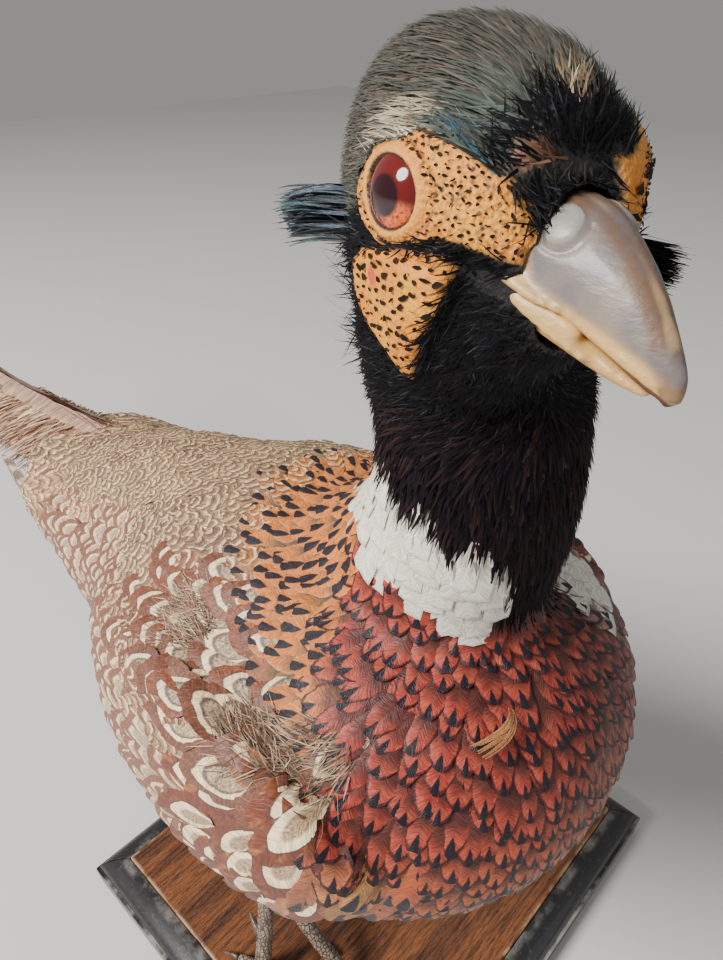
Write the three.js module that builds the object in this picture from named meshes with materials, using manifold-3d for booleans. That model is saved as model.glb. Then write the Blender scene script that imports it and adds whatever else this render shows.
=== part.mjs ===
// A cock ring-necked pheasant, stuffed and mounted, standing on a square-cornered wooden base.
// Millimetres, +Z up. The origin is the middle of the underside of the base. The bird faces -Y,
// so its left side is +X and its tail runs towards +Y.
import * as THREE from 'three';
import { mergeVertices } from 'three/addons/utils/BufferGeometryUtils.js';
import { LoftGeometry } from 'three/addons/geometries/LoftGeometry.js';
import Module from 'manifold-3d';

const wasm = await Module();
wasm.setup();

// ---- Driving dimensions ----

const GAP = 0.3;

const BASE_ACROSS = 230;
const BASE_DEEP = 202;
const BASE_HEIGHT = 22;
const RAIL_WIDTH = 14;
const RAIL_LEDGE = 2;

const TAIL_TIP_Y = 560;
const TAIL_ROOF_ANGLE = THREE.MathUtils.degToRad(50);

const HEAD_PLACE = new THREE.Vector3(-79, -88, 384);
const HEAD_YAW = THREE.MathUtils.degToRad(-113.2);
const HEAD_NOD = THREE.MathUtils.degToRad(2.6);
const EYE_RADIUS = 7;
const EYE_APART = 24;

const SHANK_RADIUS = 4;
const TOE_RADIUS = 2.8;
const CLAW_LENGTH = 9;

const UP = new THREE.Vector3(0, 0, 1);
const BACK = new THREE.Vector3(0, 1, 0);
const SIDES = [['left', 1], ['right', -1]];

// ---- Colours and finishes ----

function finish(color, roughness, metalness = 0) {
  return new THREE.MeshStandardMaterial({ color, roughness, metalness });
}

const finishes = {
  walnut: finish(0x6f3f22, 0.45),
  blackPaint: finish(0x17181a, 0.4),
  breast: finish(0x9c4233, 0.6),
  neck: finish(0x15121a, 0.5),
  crown: finish(0x3b3f3a, 0.7),
  wing: finish(0xa27a54, 0.7),
  quill: finish(0x7c5b41, 0.65),
  tail: finish(0xa08a78, 0.7),
  shank: finish(0x8b7565, 0.6),
  claw: finish(0x3d332c, 0.4),
  horn: finish(0xcdb58d, 0.3),
  glass: finish(0x6b1f1b, 0.05),
};

// ---- Closed lofts ----

// A ring of a loft, wound so that the side vector crossed with the up vector runs along the loft.
function ring(centre, side, up, across, rise, fall, roundness, count) {
  const points = [];
  for (let i = 0; i < count; i += 1) {
    const angle = (2 * Math.PI * i) / count;
    const c = Math.cos(angle);
    const s = Math.sin(angle);
    const reach = 1 / (Math.abs(c) ** roundness + Math.abs(s) ** roundness) ** (1 / roundness);
    const height = s > 0 ? rise : fall;
    points.push(centre.clone().addScaledVector(side, across * reach * c)
      .addScaledVector(up, height * reach * s));
  }
  return points;
}

// A closed body through stations [x, y, z, across, rise, fall]: a place on its axis, its half width,
// and how far it reaches towards `lift` and away from it. `grow` makes all of it fatter.
function loft(stations, { lift, rings, sides, roundness = 2, grow = 0, even = false }) {
  const axis = new THREE.CatmullRomCurve3(
    stations.map(([x, y, z]) => new THREE.Vector3(x, y, z)), false, 'catmullrom', 0.5);
  const sizes = new THREE.CatmullRomCurve3(
    stations.map(([, , , across, rise, fall]) => new THREE.Vector3(across, rise, fall)),
    false, 'catmullrom', 0.5);
  const sections = [];
  for (let i = 0; i <= rings; i += 1) {
    const u = even ? i / rings : easeEnds(i / rings);
    const centre = axis.getPoint(u);
    const tangent = axis.getTangent(u);
    const size = sizes.getPoint(u);
    const side = new THREE.Vector3().crossVectors(lift, tangent).normalize();
    const up = new THREE.Vector3().crossVectors(tangent, side);
    if (i === 0) centre.addScaledVector(tangent, -grow);
    if (i === rings) centre.addScaledVector(tangent, grow);
    sections.push(ring(centre, side, up, size.x + grow, size.y + grow, size.z + grow,
      roundness, sides));
  }
  return new LoftGeometry(sections, { closed: true, capStart: true, capEnd: true });
}

// Draws the rings of a loft closer together near both of its rounded ends.
function easeEnds(along) {
  const pull = 0.05;
  return along - pull * Math.sin(2 * Math.PI * along);
}

// ---- Joining and cutting ----

function solid(geometry, matrix = new THREE.Matrix4()) {
  const shell = new THREE.BufferGeometry().copy(geometry).applyMatrix4(matrix);
  shell.deleteAttribute('normal');
  shell.deleteAttribute('uv');
  const merged = mergeVertices(shell, 1e-4);
  return new wasm.Manifold(new wasm.Mesh({
    numProp: 3,
    vertProperties: new Float32Array(merged.attributes.position.array),
    triVerts: new Uint32Array(merged.index.array),
  }));
}

function geometryOf(body) {
  const mesh = body.getMesh();
  const geometry = new THREE.BufferGeometry();
  geometry.setAttribute('position', new THREE.BufferAttribute(
    new Float32Array(mesh.vertProperties), mesh.numProp));
  geometry.setIndex(new THREE.BufferAttribute(new Uint32Array(mesh.triVerts), 1));
  geometry.computeVertexNormals();
  return geometry;
}

// Takes the cutters away from a body and keeps its largest piece.
function cut(body, ...cutters) {
  let rest = body;
  for (const cutter of cutters) rest = rest.subtract(cutter);
  return rest.decompose().sort((a, b) => b.volume() - a.volume())[0];
}

function join(...bodies) {
  return bodies.reduce((whole, body) => whole.add(body));
}

function named(name, geometry, material) {
  const mesh = new THREE.Mesh(geometry, material);
  mesh.name = name;
  return mesh;
}

// ---- Base ----

// A walnut board framed by four mitred rails, each with a hollow moulded along its top.
function makeBase() {
  const base = new THREE.Group();
  const boardAcross = BASE_ACROSS - 2 * (RAIL_WIDTH + GAP);
  const boardDeep = BASE_DEEP - 2 * (RAIL_WIDTH + GAP);
  const board = new THREE.BoxGeometry(boardAcross, boardDeep, BASE_HEIGHT);
  board.translate(0, 0, BASE_HEIGHT / 2);
  base.add(named('base_board', board, finishes.walnut));

  const rails = [
    ['base_rail_front', BASE_ACROSS, BASE_DEEP, 0],
    ['base_rail_left', BASE_DEEP, BASE_ACROSS, Math.PI / 2],
    ['base_rail_back', BASE_ACROSS, BASE_DEEP, Math.PI],
    ['base_rail_right', BASE_DEEP, BASE_ACROSS, -Math.PI / 2],
  ];
  for (const [name, length, span, turn] of rails) {
    const rail = named(name, makeRail(length, span), finishes.blackPaint);
    rail.rotation.z = turn;
    base.add(rail);
  }
  return base;
}

// One rail along X at -Y. Each point of its section slides in along the mitres at both ends.
function makeRail(length, span) {
  const section = railSection();
  const ends = [-1, 1].map((end) => section.map(([inward, height]) => new THREE.Vector3(
    end * (length / 2 - inward - GAP / 2), inward - span / 2, height)));
  return new LoftGeometry(ends, { closed: true, capStart: true, capEnd: true });
}

// The rail's section as [distance in from the outer face, height], anticlockwise seen from +X.
function railSection() {
  const outerHeight = 12;
  const fillet = 1.5;
  const topHeight = BASE_HEIGHT - 1;
  const hollow = [];
  const steps = 5;
  const roundness = 0.35;
  const hollowWidth = RAIL_WIDTH - RAIL_LEDGE - fillet;
  const hollowDepth = topHeight - outerHeight;
  for (let i = 0; i <= steps; i += 1) {
    const angle = (Math.PI / 2) * (i / steps);
    const sunk = 1 - roundness * Math.cos(angle) - (1 - roundness) * (1 - i / steps);
    hollow.push([RAIL_WIDTH - RAIL_LEDGE - hollowWidth * Math.sin(angle),
      topHeight - hollowDepth * sunk]);
  }
  return [
    [fillet / 2, 0],
    [RAIL_WIDTH, 0],
    [RAIL_WIDTH, topHeight],
    ...hollow,
    [0, outerHeight],
  ];
}

// ---- Trunk ----

// From the front of the breast, over the back, to the long coverts that lie on the root of the tail.
const TRUNK_STATIONS = [
  [-60, -118, 264, 6, 6, 6],
  [-60, -110, 260, 35, 28, 28],
  [-59, -94, 252, 55, 45, 42],
  [-57, -70, 240, 63, 60, 51],
  [-55, -40, 226, 67, 71, 60],
  [-53, -5, 215, 65, 73, 63],
  [-50, 32, 211, 55, 66, 59],
  [-47, 66, 213, 43, 57, 47],
  [-45, 98, 216, 42, 40, 37],
  [-42, 130, 218, 40, 28, 30],
  [-41, 156, 221, 31, 18, 21],
  [-40, 176, 222, 14, 7, 9],
];

function trunkShape(grow = 0) {
  return solid(loft(TRUNK_STATIONS, { lift: UP, rings: 20, sides: 26, roundness: 2.15, grow }));
}

// The middle of the back lies a little nearer the left at the tail than at the breast.
function middleOfBack(y) {
  return THREE.MathUtils.mapLinear(y, -110, 200, -61, -40);
}

// ---- Neck ----

const NECK_STATIONS = [
  [-57, -52, 262, 42, 44, 46],
  [-55, -64, 280, 31.5, 33, 33],
  [-58, -74, 300, 25.2, 26, 26],
  [-61.5, -80, 320, 22.4, 23, 23.5],
  [-65.5, -81, 342, 21, 21.5, 23],
  [-70, -79, 360, 20.4, 20.8, 23],
  [-74, -77, 374, 17, 17, 19],
];

function neckLoft(grow = 0) {
  return loft(NECK_STATIONS, { lift: BACK, rings: 11, sides: 22, grow });
}

// ---- Head ----

// The head is made in its own frame: x forwards, y to its left, z up, from between the eyes.
const HEAD_STATIONS = [
  [-33, 0, -8, 4, 5, 5],
  [-30, 0, -8, 10, 14, 13],
  [-22, 0, -7, 15, 24, 26],
  [-12, 0, -6, 17.5, 27, 31],
  [-2, 0, -6, 18, 27.5, 32],
  [8, 0, -6, 17.5, 26, 28],
  [15, 0, -6, 14.5, 22.5, 21],
  [21, 0, -6, 10.5, 16, 13],
  [25.5, 0, -5, 7, 8.5, 7],
];

const BILL_STATIONS = [
  [13, 0, -4.6, 9, 7.4, 2],
  [20, 0, -5, 8.6, 8.9, 2.6],
  [26, 0, -6.6, 6.8, 8.6, 3],
  [32, 0, -8.8, 4.9, 7.3, 2.8],
  [37, 0, -10.8, 3.3, 5.2, 2.6],
  [40.4, 0, -12.2, 2, 3.3, 2.4],
  [42.3, 0, -14.4, 0.8, 1.4, 1.4],
];

const LOWER_BILL_STATIONS = [
  [12, 0, -8.6, 8, 1.6, 4.4],
  [20, 0, -9.4, 7.2, 1.4, 4.6],
  [28, 0, -11.4, 5.2, 1, 3.6],
  [34, 0, -13.2, 3.2, 0.8, 2.4],
  [38.6, 0, -14.8, 1, 0.5, 0.8],
];

function makeHead() {
  const head = new THREE.Group();
  head.position.copy(HEAD_PLACE);
  head.rotation.set(0, HEAD_NOD, HEAD_YAW, 'ZYX');

  const upperBill = (grow) => solid(loft(BILL_STATIONS,
    { lift: UP, rings: 11, sides: 14, roundness: 1.8, grow }));
  const lowerBill = (grow) => solid(loft(LOWER_BILL_STATIONS,
    { lift: UP, rings: 7, sides: 10, roundness: 2.2, grow }));
  const eye = (side, grow) => solid(eyeball(side, grow));
  head.updateMatrix();
  const neckClearance = solid(neckLoft(GAP), head.matrix.clone().invert());

  const skull = cut(solid(headLoft()), upperBill(GAP), lowerBill(GAP), eye(1, GAP), eye(-1, GAP));
  head.add(named('head', geometryOf(skull), finishes.crown));
  head.add(named('bill_upper', geometryOf(upperBill(0)), finishes.horn));
  head.add(named('bill_lower', geometryOf(cut(lowerBill(0), upperBill(GAP))), finishes.horn));
  for (const [word, side] of SIDES) {
    head.add(named(`eye_${word}`, eyeball(side, 0), finishes.glass));
    const tuft = cut(earTuft(word), solid(headLoft(GAP)), neckClearance);
    head.add(named(`ear_tuft_${word}`, geometryOf(tuft), finishes.neck));
  }
  return head;
}

function headLoft(grow = 0) {
  return loft(HEAD_STATIONS, { lift: UP, rings: 17, sides: 24, roundness: 2.2, grow });
}

function eyeball(side, grow) {
  const ball = new THREE.SphereGeometry(EYE_RADIUS + grow, 12, 9);
  ball.translate(2.3, (side * EYE_APART) / 2, 0);
  return mergeVertices(ball, 1e-4);
}

// A brush of stiff feathers behind and below each eye. The right one stands out and back, and the
// left one is bent forwards, out from the cheek.
const EAR_TUFTS = {
  right: [
    [-13, -12, -7, 3, 5, 5],
    [-17, -17, -7, 3, 5, 6],
    [-20, -20.5, -7, 2.4, 4.4, 5],
    [-23.5, -23.5, -7, 1.4, 3, 3.4],
  ],
  left: [
    [-6, 12, -9, 4, 6, 6],
    [-1, 20, -10, 3.6, 6, 7],
    [3, 27, -10.5, 3, 5.6, 7],
    [7, 33, -10.5, 1.6, 4, 5],
  ],
};

function earTuft(word) {
  return solid(loft(EAR_TUFTS[word], { lift: UP, rings: 5, sides: 8, even: true }));
}

// ---- Wings ----

// Each row is [out from the middle of the back, y, z, half thickness, rise, fall].
const WING_ROWS = [
  [53, -98, 246, 2, 6, 6],
  [59, -84, 247, 7, 23, 19],
  [60, -54, 240, 11.5, 36, 31],
  [58, -16, 230, 13.5, 38, 33],
  [51, 18, 225, 12, 32, 31],
  [41, 48, 222, 8, 24, 26],
  [37, 84, 221, 7, 17, 18],
  [35, 120, 220, 6, 12, 12],
  [33, 148, 219, 3, 7, 7],
];

const QUILL_ROWS = [
  [41, 60, 214, 1.6, 10, 10],
  [38, 96, 211, 1.6, 11, 11],
  [35, 132, 210, 1.5, 10, 10],
  [31, 164, 210, 1.3, 7, 7],
  [28, 190, 211, 1, 3, 3],
];

function sideStations(rows, side) {
  return rows.map(([out, y, z, ...size]) => [middleOfBack(y) + side * out, y, z, ...size]);
}

function wingShape(side, grow = 0) {
  return solid(loft(sideStations(WING_ROWS, side), { lift: UP, rings: 14, sides: 16, grow }));
}

function quillShape(side) {
  return solid(loft(sideStations(QUILL_ROWS, side), { lift: UP, rings: 6, sides: 6 }));
}

// ---- Tail ----

// Feathers lie in pairs like a roof. Each row is a pair: how far its ridge lies below the top one,
// where its tips end, its width down the slope, and its half thickness.
const TAIL_PAIRS = [
  { name: 'tail_centre', drop: 0, tip: TAIL_TIP_Y, slope: 38, thick: 1.3 },
  { name: 'tail_side', drop: 5, tip: 440, slope: 36, thick: 1.3 },
  { name: 'tail_outer', drop: 10, tip: 330, slope: 32, thick: 1.3 },
];

// The ridge sinks from the rump to its lowest place and then rises a little to the tip.
function tailRidge(y) {
  const lowest = { y: 300, z: 239 };
  const bend = y < lowest.y ? 0.00047 : 0.00014;
  return lowest.z + bend * (y - lowest.y) ** 2;
}

function tailFeathers({ drop, tip, slope, thick }, side, grow = 0) {
  const root = 108;
  const stations = [];
  const steps = 6;
  for (let i = 0; i <= steps; i += 1) {
    const along = i / steps;
    const y = THREE.MathUtils.lerp(root, tip, along);
    const width = slope * (1 - along ** 1.6) * (0.85 + 0.15 * Math.sin(Math.PI * along)) + 5;
    const down = 1.2 + width / 2;
    stations.push([
      middleOfBack(150) + side * (0.5 + down * Math.cos(TAIL_ROOF_ANGLE)),
      y,
      tailRidge(y) - drop - down * Math.sin(TAIL_ROOF_ANGLE),
      thick * (1 - 0.35 * along),
      width / 2,
      width / 2,
    ]);
  }
  const lift = new THREE.Vector3(-side * Math.cos(TAIL_ROOF_ANGLE), 0, Math.sin(TAIL_ROOF_ANGLE));
  return solid(loft(stations, { lift, rings: 9, sides: 6, even: true, grow }));
}

// ---- Legs ----

const LEGS = [
  {
    word: 'left', side: 1, hip: [-30, 12, 188], hock: [-72, -8, 72], foot: [-64, -42],
    turn: THREE.MathUtils.degToRad(4),
  },
  {
    word: 'right', side: -1, hip: [-88, 12, 188], hock: [-79.5, -9, 96], foot: [-88, -8],
    turn: THREE.MathUtils.degToRad(8),
  },
];

// Between hip and hock, each station is how far along it lies, how far back it bows, and its half
// width and half depth.
const THIGH_SHAPE = [[0.35, 3, 18, 23], [0.65, 4, 10.5, 14], [0.87, 2, 6, 7.5]];

// Toes as [angle outwards, length, claw]. The hind toe points back.
const TOES = [
  { name: 'inner', angle: -34, length: 31 },
  { name: 'middle', angle: 0, length: 40 },
  { name: 'outer', angle: 30, length: 33 },
  { name: 'hind', angle: 168, length: 13 },
];

function makeLeg({ word, side, hip, hock, foot, turn }, bodyParts) {
  const leg = new THREE.Group();
  const ankle = new THREE.Vector3(foot[0], foot[1], BASE_HEIGHT + GAP + TOE_RADIUS + 1);
  const hockPoint = new THREE.Vector3(...hock);

  const thigh = (grow) => solid(loft([
    [...hip, 24, 32, 32],
    ...THIGH_SHAPE.map(([along, back, across, deep]) => [
      THREE.MathUtils.lerp(hip[0], hock[0], along),
      THREE.MathUtils.lerp(hip[1], hock[1], along) + back,
      THREE.MathUtils.lerp(hip[2], hock[2], along),
      across, deep, deep]),
    [...hock, 4.6, 5, 5],
  ], { lift: BACK, rings: 7, sides: 12, grow, even: true }));

  const shankStations = [0, 0.35, 0.7, 1].map((t) => {
    const place = hockPoint.clone().lerp(ankle, t);
    const thick = SHANK_RADIUS * (1 + 0.25 * (2 * t - 1) ** 2);
    return [place.x, place.y, place.z, thick * 0.82, thick, thick];
  });
  const shank = solid(loft(shankStations, { lift: BACK, rings: 4, sides: 10, even: true }));

  const toes = TOES.map((toe) => solid(makeToe(toe, side, turn, ankle)));
  const footShape = join(...toes);
  const shankGrown = solid(loft(shankStations,
    { lift: BACK, rings: 4, sides: 10, even: true, grow: GAP }));

  const spurAlong = 0.68;
  const spurPoint = hockPoint.clone().lerp(ankle, spurAlong);
  const spur = solid(loft([
    [spurPoint.x, spurPoint.y + 1, spurPoint.z, 2.6, 2.8, 2.8],
    [spurPoint.x - side * 1.5, spurPoint.y + 7, spurPoint.z + 1, 1.9, 2, 2],
    [spurPoint.x - side * 2.5, spurPoint.y + 13, spurPoint.z + 4.5, 0.4, 0.4, 0.4],
  ], { lift: UP, rings: 4, sides: 6 }));

  leg.add(named(`thigh_${word}`, geometryOf(cut(thigh(0), ...bodyParts)), finishes.wing));
  leg.add(named(`shank_${word}`, geometryOf(cut(shank, thigh(GAP))), finishes.shank));
  leg.add(named(`foot_${word}`, geometryOf(cut(footShape, shankGrown)), finishes.shank));
  leg.add(named(`spur_${word}`, geometryOf(cut(spur, shankGrown)), finishes.claw));
  for (const toe of TOES) {
    leg.add(named(`claw_${toe.name}_${word}`, makeClaw(toe, side, turn, ankle), finishes.claw));
  }
  return leg;
}

function toeDirection({ angle }, side, turn) {
  const heading = -Math.PI / 2 + side * (THREE.MathUtils.degToRad(angle) - turn);
  return new THREE.Vector3(Math.cos(heading), Math.sin(heading), 0);
}

// A toe runs down from the ankle, over two low knuckles, and lies on the board.
function makeToe(toe, side, turn, ankle) {
  const direction = toeDirection(toe, side, turn);
  const resting = BASE_HEIGHT + GAP + TOE_RADIUS;
  // Each station is how far along it lies, how high it is lifted, and its thickness.
  const shape = [[0, 2.4, 1.25], [0.3, 1.1, 1.05], [0.55, 0.2, 1], [0.8, 0.35, 0.9], [1, -0.1, 0.8]];
  const stations = shape.map(([along, lift, thick]) => {
    const place = ankle.clone().addScaledVector(direction, along * toe.length);
    const radius = TOE_RADIUS * thick;
    return [place.x, place.y, resting + lift, radius, radius, TOE_RADIUS];
  });
  return loft(stations, { lift: UP, rings: 6, sides: 6, even: true });
}

// A claw starts a gap in front of the toe's end and bends down to a point on the board.
function makeClaw(toe, side, turn, ankle) {
  const direction = toeDirection(toe, side, turn);
  const resting = BASE_HEIGHT + GAP;
  // Each station is how far along it lies, how high it is, and half its thickness.
  const shape = [[0, 2.6, 1.9], [0.4, 2.5, 1.5], [0.75, 1.5, 0.9], [1, 0.6, 0.35]];
  const stations = shape.map(([along, height, thick]) => {
    const reach = toe.length + 2 * GAP + along * CLAW_LENGTH;
    const place = ankle.clone().addScaledVector(direction, reach);
    return [place.x, place.y, resting + height, thick * 0.7, thick, Math.min(thick, height)];
  });
  return loft(stations, { lift: UP, rings: 4, sides: 6, even: true });
}

// ---- The whole bird on its base ----

function makeBird() {
  const bird = new THREE.Group();
  const head = makeHead();
  const headClearance = solid(headLoft(GAP), head.matrix);
  const trunkClearance = trunkShape(GAP);
  const neckClearance = solid(neckLoft(GAP));
  const wingClearances = SIDES.map(([, side]) => wingShape(side, GAP));
  const tailClearances = TAIL_PAIRS.flatMap((pair) => SIDES.map(
    ([, side]) => tailFeathers(pair, side, GAP)));

  bird.add(head);
  const neck = cut(solid(neckLoft()), trunkClearance, headClearance);
  bird.add(named('neck', geometryOf(neck), finishes.neck));
  bird.add(named('trunk', geometryOf(trunkShape()), finishes.breast));

  for (const [word, side] of SIDES) {
    const wing = cut(wingShape(side), trunkClearance, neckClearance);
    bird.add(named(`wing_${word}`, geometryOf(wing), finishes.wing));
    const quills = cut(quillShape(side), trunkClearance, ...wingClearances, ...tailClearances);
    bird.add(named(`quills_${word}`, geometryOf(quills), finishes.quill));
    for (const pair of TAIL_PAIRS) {
      const feathers = cut(tailFeathers(pair, side), trunkClearance, ...wingClearances);
      bird.add(named(`${pair.name}_${word}`, geometryOf(feathers), finishes.tail));
    }
  }
  for (const leg of LEGS) bird.add(makeLeg(leg, [trunkClearance, ...wingClearances]));
  return bird;
}

const pheasant = new THREE.Group();
pheasant.add(makeBase());
pheasant.add(makeBird());

export default pheasant;
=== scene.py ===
"""A stuffed cock ring-necked pheasant standing on its own wooden base."""
import math

import bmesh
import bpy
import numpy as np
from mathutils import Matrix, Vector
from mathutils.bvhtree import BVHTree


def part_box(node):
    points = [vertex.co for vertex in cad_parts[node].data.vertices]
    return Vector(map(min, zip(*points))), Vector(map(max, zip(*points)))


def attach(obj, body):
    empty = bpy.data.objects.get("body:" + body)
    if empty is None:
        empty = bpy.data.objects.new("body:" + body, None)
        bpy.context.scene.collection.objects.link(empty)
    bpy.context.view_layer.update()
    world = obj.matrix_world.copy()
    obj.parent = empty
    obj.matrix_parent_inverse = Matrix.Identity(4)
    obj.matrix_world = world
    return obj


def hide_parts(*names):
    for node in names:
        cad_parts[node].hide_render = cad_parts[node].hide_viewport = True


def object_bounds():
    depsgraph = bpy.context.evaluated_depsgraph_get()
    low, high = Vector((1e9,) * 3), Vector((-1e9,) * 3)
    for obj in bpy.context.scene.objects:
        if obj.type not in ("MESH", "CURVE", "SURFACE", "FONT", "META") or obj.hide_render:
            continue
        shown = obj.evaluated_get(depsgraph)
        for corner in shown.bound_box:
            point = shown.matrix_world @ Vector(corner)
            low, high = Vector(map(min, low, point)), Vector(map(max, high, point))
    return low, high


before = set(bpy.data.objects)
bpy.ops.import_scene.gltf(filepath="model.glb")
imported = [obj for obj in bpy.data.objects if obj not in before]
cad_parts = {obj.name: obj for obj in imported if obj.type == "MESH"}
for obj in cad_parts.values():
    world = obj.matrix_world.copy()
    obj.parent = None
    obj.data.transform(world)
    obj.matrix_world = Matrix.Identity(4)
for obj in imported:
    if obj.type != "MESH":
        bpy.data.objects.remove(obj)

cad_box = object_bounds()
MM = 0.001

# ---- Camera ----
# A short lens held close in front of the bird's right shoulder, a little above its eye, looking down. The
# frame is upright.

camera_data = bpy.data.cameras.new("camera")
camera_data.lens = 27.4
camera_data.sensor_width = 36
camera_data.clip_start = 0.01
camera = bpy.data.objects.new("camera", camera_data)
camera.location = (-0.1722, -0.1506, 0.406)
camera.rotation_euler = (math.radians(90 - 33.5), 0, math.radians(-46.75))
bpy.context.collection.objects.link(camera)
bpy.context.scene.camera = camera


# ---- Board ----
# The bird is wired to a walnut board with satin varnish. Its grain runs across, and its top edge is rubbed
# down to bare pale wood.

class Value:
    """A socket in a material. Sums on it add Math nodes, and node() adds any other node."""

    def __init__(self, socket):
        self.socket = socket

    def node(self, kind, settings=None, inputs=None, output=0):
        tree = self.socket.id_data
        made = tree.nodes.new("ShaderNode" + kind)
        for name, value in (settings or {}).items():
            if name == "stops":
                ramp = made.color_ramp
                while len(ramp.elements) < len(value):
                    ramp.elements.new(1)
                for element, (place, colour) in zip(ramp.elements, value):
                    element.position = place
                    element.color = (*colour, 1)
            else:
                setattr(made, name, value)
        for name, value in (inputs or {}).items():
            if isinstance(value, Value):
                tree.links.new(value.socket, made.inputs[name])
            else:
                made.inputs[name].default_value = value
        return Value(made.outputs[output])

    def math(self, operation, *others):
        return self.node("Math", {"operation": operation}, dict(enumerate((self, *others))))

    def __add__(self, other):
        return self.math("ADD", other)

    def __sub__(self, other):
        return self.math("SUBTRACT", other)

    def __rsub__(self, other):
        return self.node("Math", {"operation": "SUBTRACT"}, {0: other, 1: self})

    def __mul__(self, other):
        return self.math("MULTIPLY", other)

    def __truediv__(self, other):
        return self.math("DIVIDE", other)

    def __pow__(self, other):
        return self.math("POWER", other)

    __radd__ = __add__
    __rmul__ = __mul__

    def size(self):
        return self.math("ABSOLUTE")

    def wave(self):
        return self.math("SINE")

    def over(self, other):
        return self.math("MAXIMUM", other)

    def under(self, other):
        return self.math("MINIMUM", other)

    def rise(self, low, high):
        """0 below low, 1 above high and smooth between them. It falls where high is below low."""
        up = self.node("MapRange", {"interpolation_type": "SMOOTHSTEP"},
                       {0: self, 1: min(low, high), 2: max(low, high)})
        return up if low < high else 1 - up

    def band(self, low, high, soft):
        return self.rise(low - soft, low + soft) * self.rise(high + soft, high - soft)

    def parts(self):
        return [self.node("SeparateXYZ", None, {0: self}, i) for i in range(3)]

    def stretch(self, x, y, z, move=(0, 0, 0)):
        return self.node("Mapping", None, {"Vector": self, "Scale": (x, y, z), "Location": move})

    def noise(self, scale, detail=2, rough=0.5):
        return self.node("TexNoise", None,
                         {"Vector": self, "Scale": scale, "Detail": detail, "Roughness": rough})

    def dots(self, scale, loose=1):
        return self.node("TexVoronoi", None, {"Vector": self, "Scale": scale, "Randomness": loose})

    def mix(self, first, second):
        """The first colour where this is 0 and the second where it is 1."""
        colours = {6: first, 7: second}
        whole = {k: v if isinstance(v, Value) else (*v, 1) for k, v in colours.items()}
        return self.node("Mix", {"data_type": "RGBA"}, {0: self, **whole}, 2)

    def ramp(self, *stops):
        return self.node("ValToRGB", {"stops": stops}, {0: self})


def new_paint(name):
    """A material and the place of each point of its piece, in metres."""
    paint = bpy.data.materials.new(name)
    paint.use_nodes = True
    coordinates = paint.node_tree.nodes.new("ShaderNodeTexCoord")
    return paint, Value(coordinates.outputs["Object"])


def finish(paint, colour, roughness, height=None, depth=0.5 * MM, **plain):
    """Sets what a material shows. Height is bumped by depth, and plain values go on their own sockets."""
    tree = paint.node_tree
    shader = tree.nodes["Principled BSDF"]
    for name, value in (("Base Color", colour), ("Roughness", roughness)):
        if isinstance(value, Value):
            tree.links.new(value.socket, shader.inputs[name])
        else:
            shader.inputs[name].default_value = value
    if height is not None:
        bump = height.node("Bump", None, {"Strength": 1, "Distance": depth, "Height": height})
        tree.links.new(bump.socket, shader.inputs["Normal"])
    for name, value in plain.items():
        shader.inputs[name.replace("_", " ").title().replace("Ior", "IOR")].default_value = value
    return paint


def new_piece(name, mesh, paint, slot, *nodes, smooth=True):
    """Makes a finished mesh a piece of the bird or its base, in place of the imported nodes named."""
    piece = bpy.data.objects.new(name, mesh)
    bpy.context.collection.objects.link(piece)
    mesh.materials.append(paint)
    mesh.polygons.foreach_set("use_smooth", [smooth] * len(mesh.polygons))
    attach(piece, "root")
    if nodes:
        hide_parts(*nodes)
    return piece


def mesh_of(name, bm):
    mesh = bpy.data.meshes.new(name)
    bm.to_mesh(mesh)
    bm.free()
    return mesh


def soften(bm, width, segments=2, angle=30):
    """Rounds every edge sharper than an angle."""
    sharp = [e for e in bm.edges if e.is_manifold and e.calc_face_angle() > math.radians(angle)]
    bmesh.ops.bevel(bm, geom=sharp, affect="EDGES", offset=width, segments=segments,
                    profile=0.5, material=-1)


board_low, board_high = (Vector(corner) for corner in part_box("base_board"))
board = bmesh.new()
bmesh.ops.create_cube(board, size=1)
bmesh.ops.scale(board, vec=board_high - board_low, verts=board.verts)
bmesh.ops.translate(board, vec=(board_low + board_high) / 2, verts=board.verts)
soften(board, 0.7 * MM)

walnut, place = new_paint("walnut")
x, y, _ = place.parts()
growth = place.stretch(1.2, 9, 9).noise(5, 4, 0.55)
streak = place.stretch(5, 95, 60).noise(7, 3, 0.6)
pore = place.stretch(38, 900, 400).noise(4, 2)
figure = (growth * 26 + y * 60).wave() * 0.5 + 0.5
dark = (figure.rise(0.35, 0.95) * 0.55 + streak.rise(0.44, 0.68) * 0.7).under(1)
wood = dark.mix((0.22, 0.075, 0.024), (0.045, 0.016, 0.008))
wood = pore.rise(0.56, 0.7).mix(wood, (0.035, 0.014, 0.008))
from_edge = (board_high.x - x.size()).under(board_high.y - y.size())
rubbed = from_edge.rise(1.9 * MM, 0.5 * MM) * place.noise(160, 3).rise(0.35, 0.6)
wood = rubbed.mix(wood, (0.42, 0.24, 0.13))
finish(walnut, wood, 0.32 + streak * 0.22, streak * 0.4 - pore.rise(0.5, 0.7), 0.15 * MM,
       coat_weight=0.25, coat_roughness=0.2)
new_piece("board", mesh_of("board", board), walnut, "walnut", "base_board", smooth=False)

# ---- Rails ----
# Four black-lacquered lengths of moulding frame the board. Each has a hollow along its top and is mitred at
# its corners. The lacquer is rubbed to grey on its outer edge, and the grey along its top is both wear and
# a painted sheen.

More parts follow.
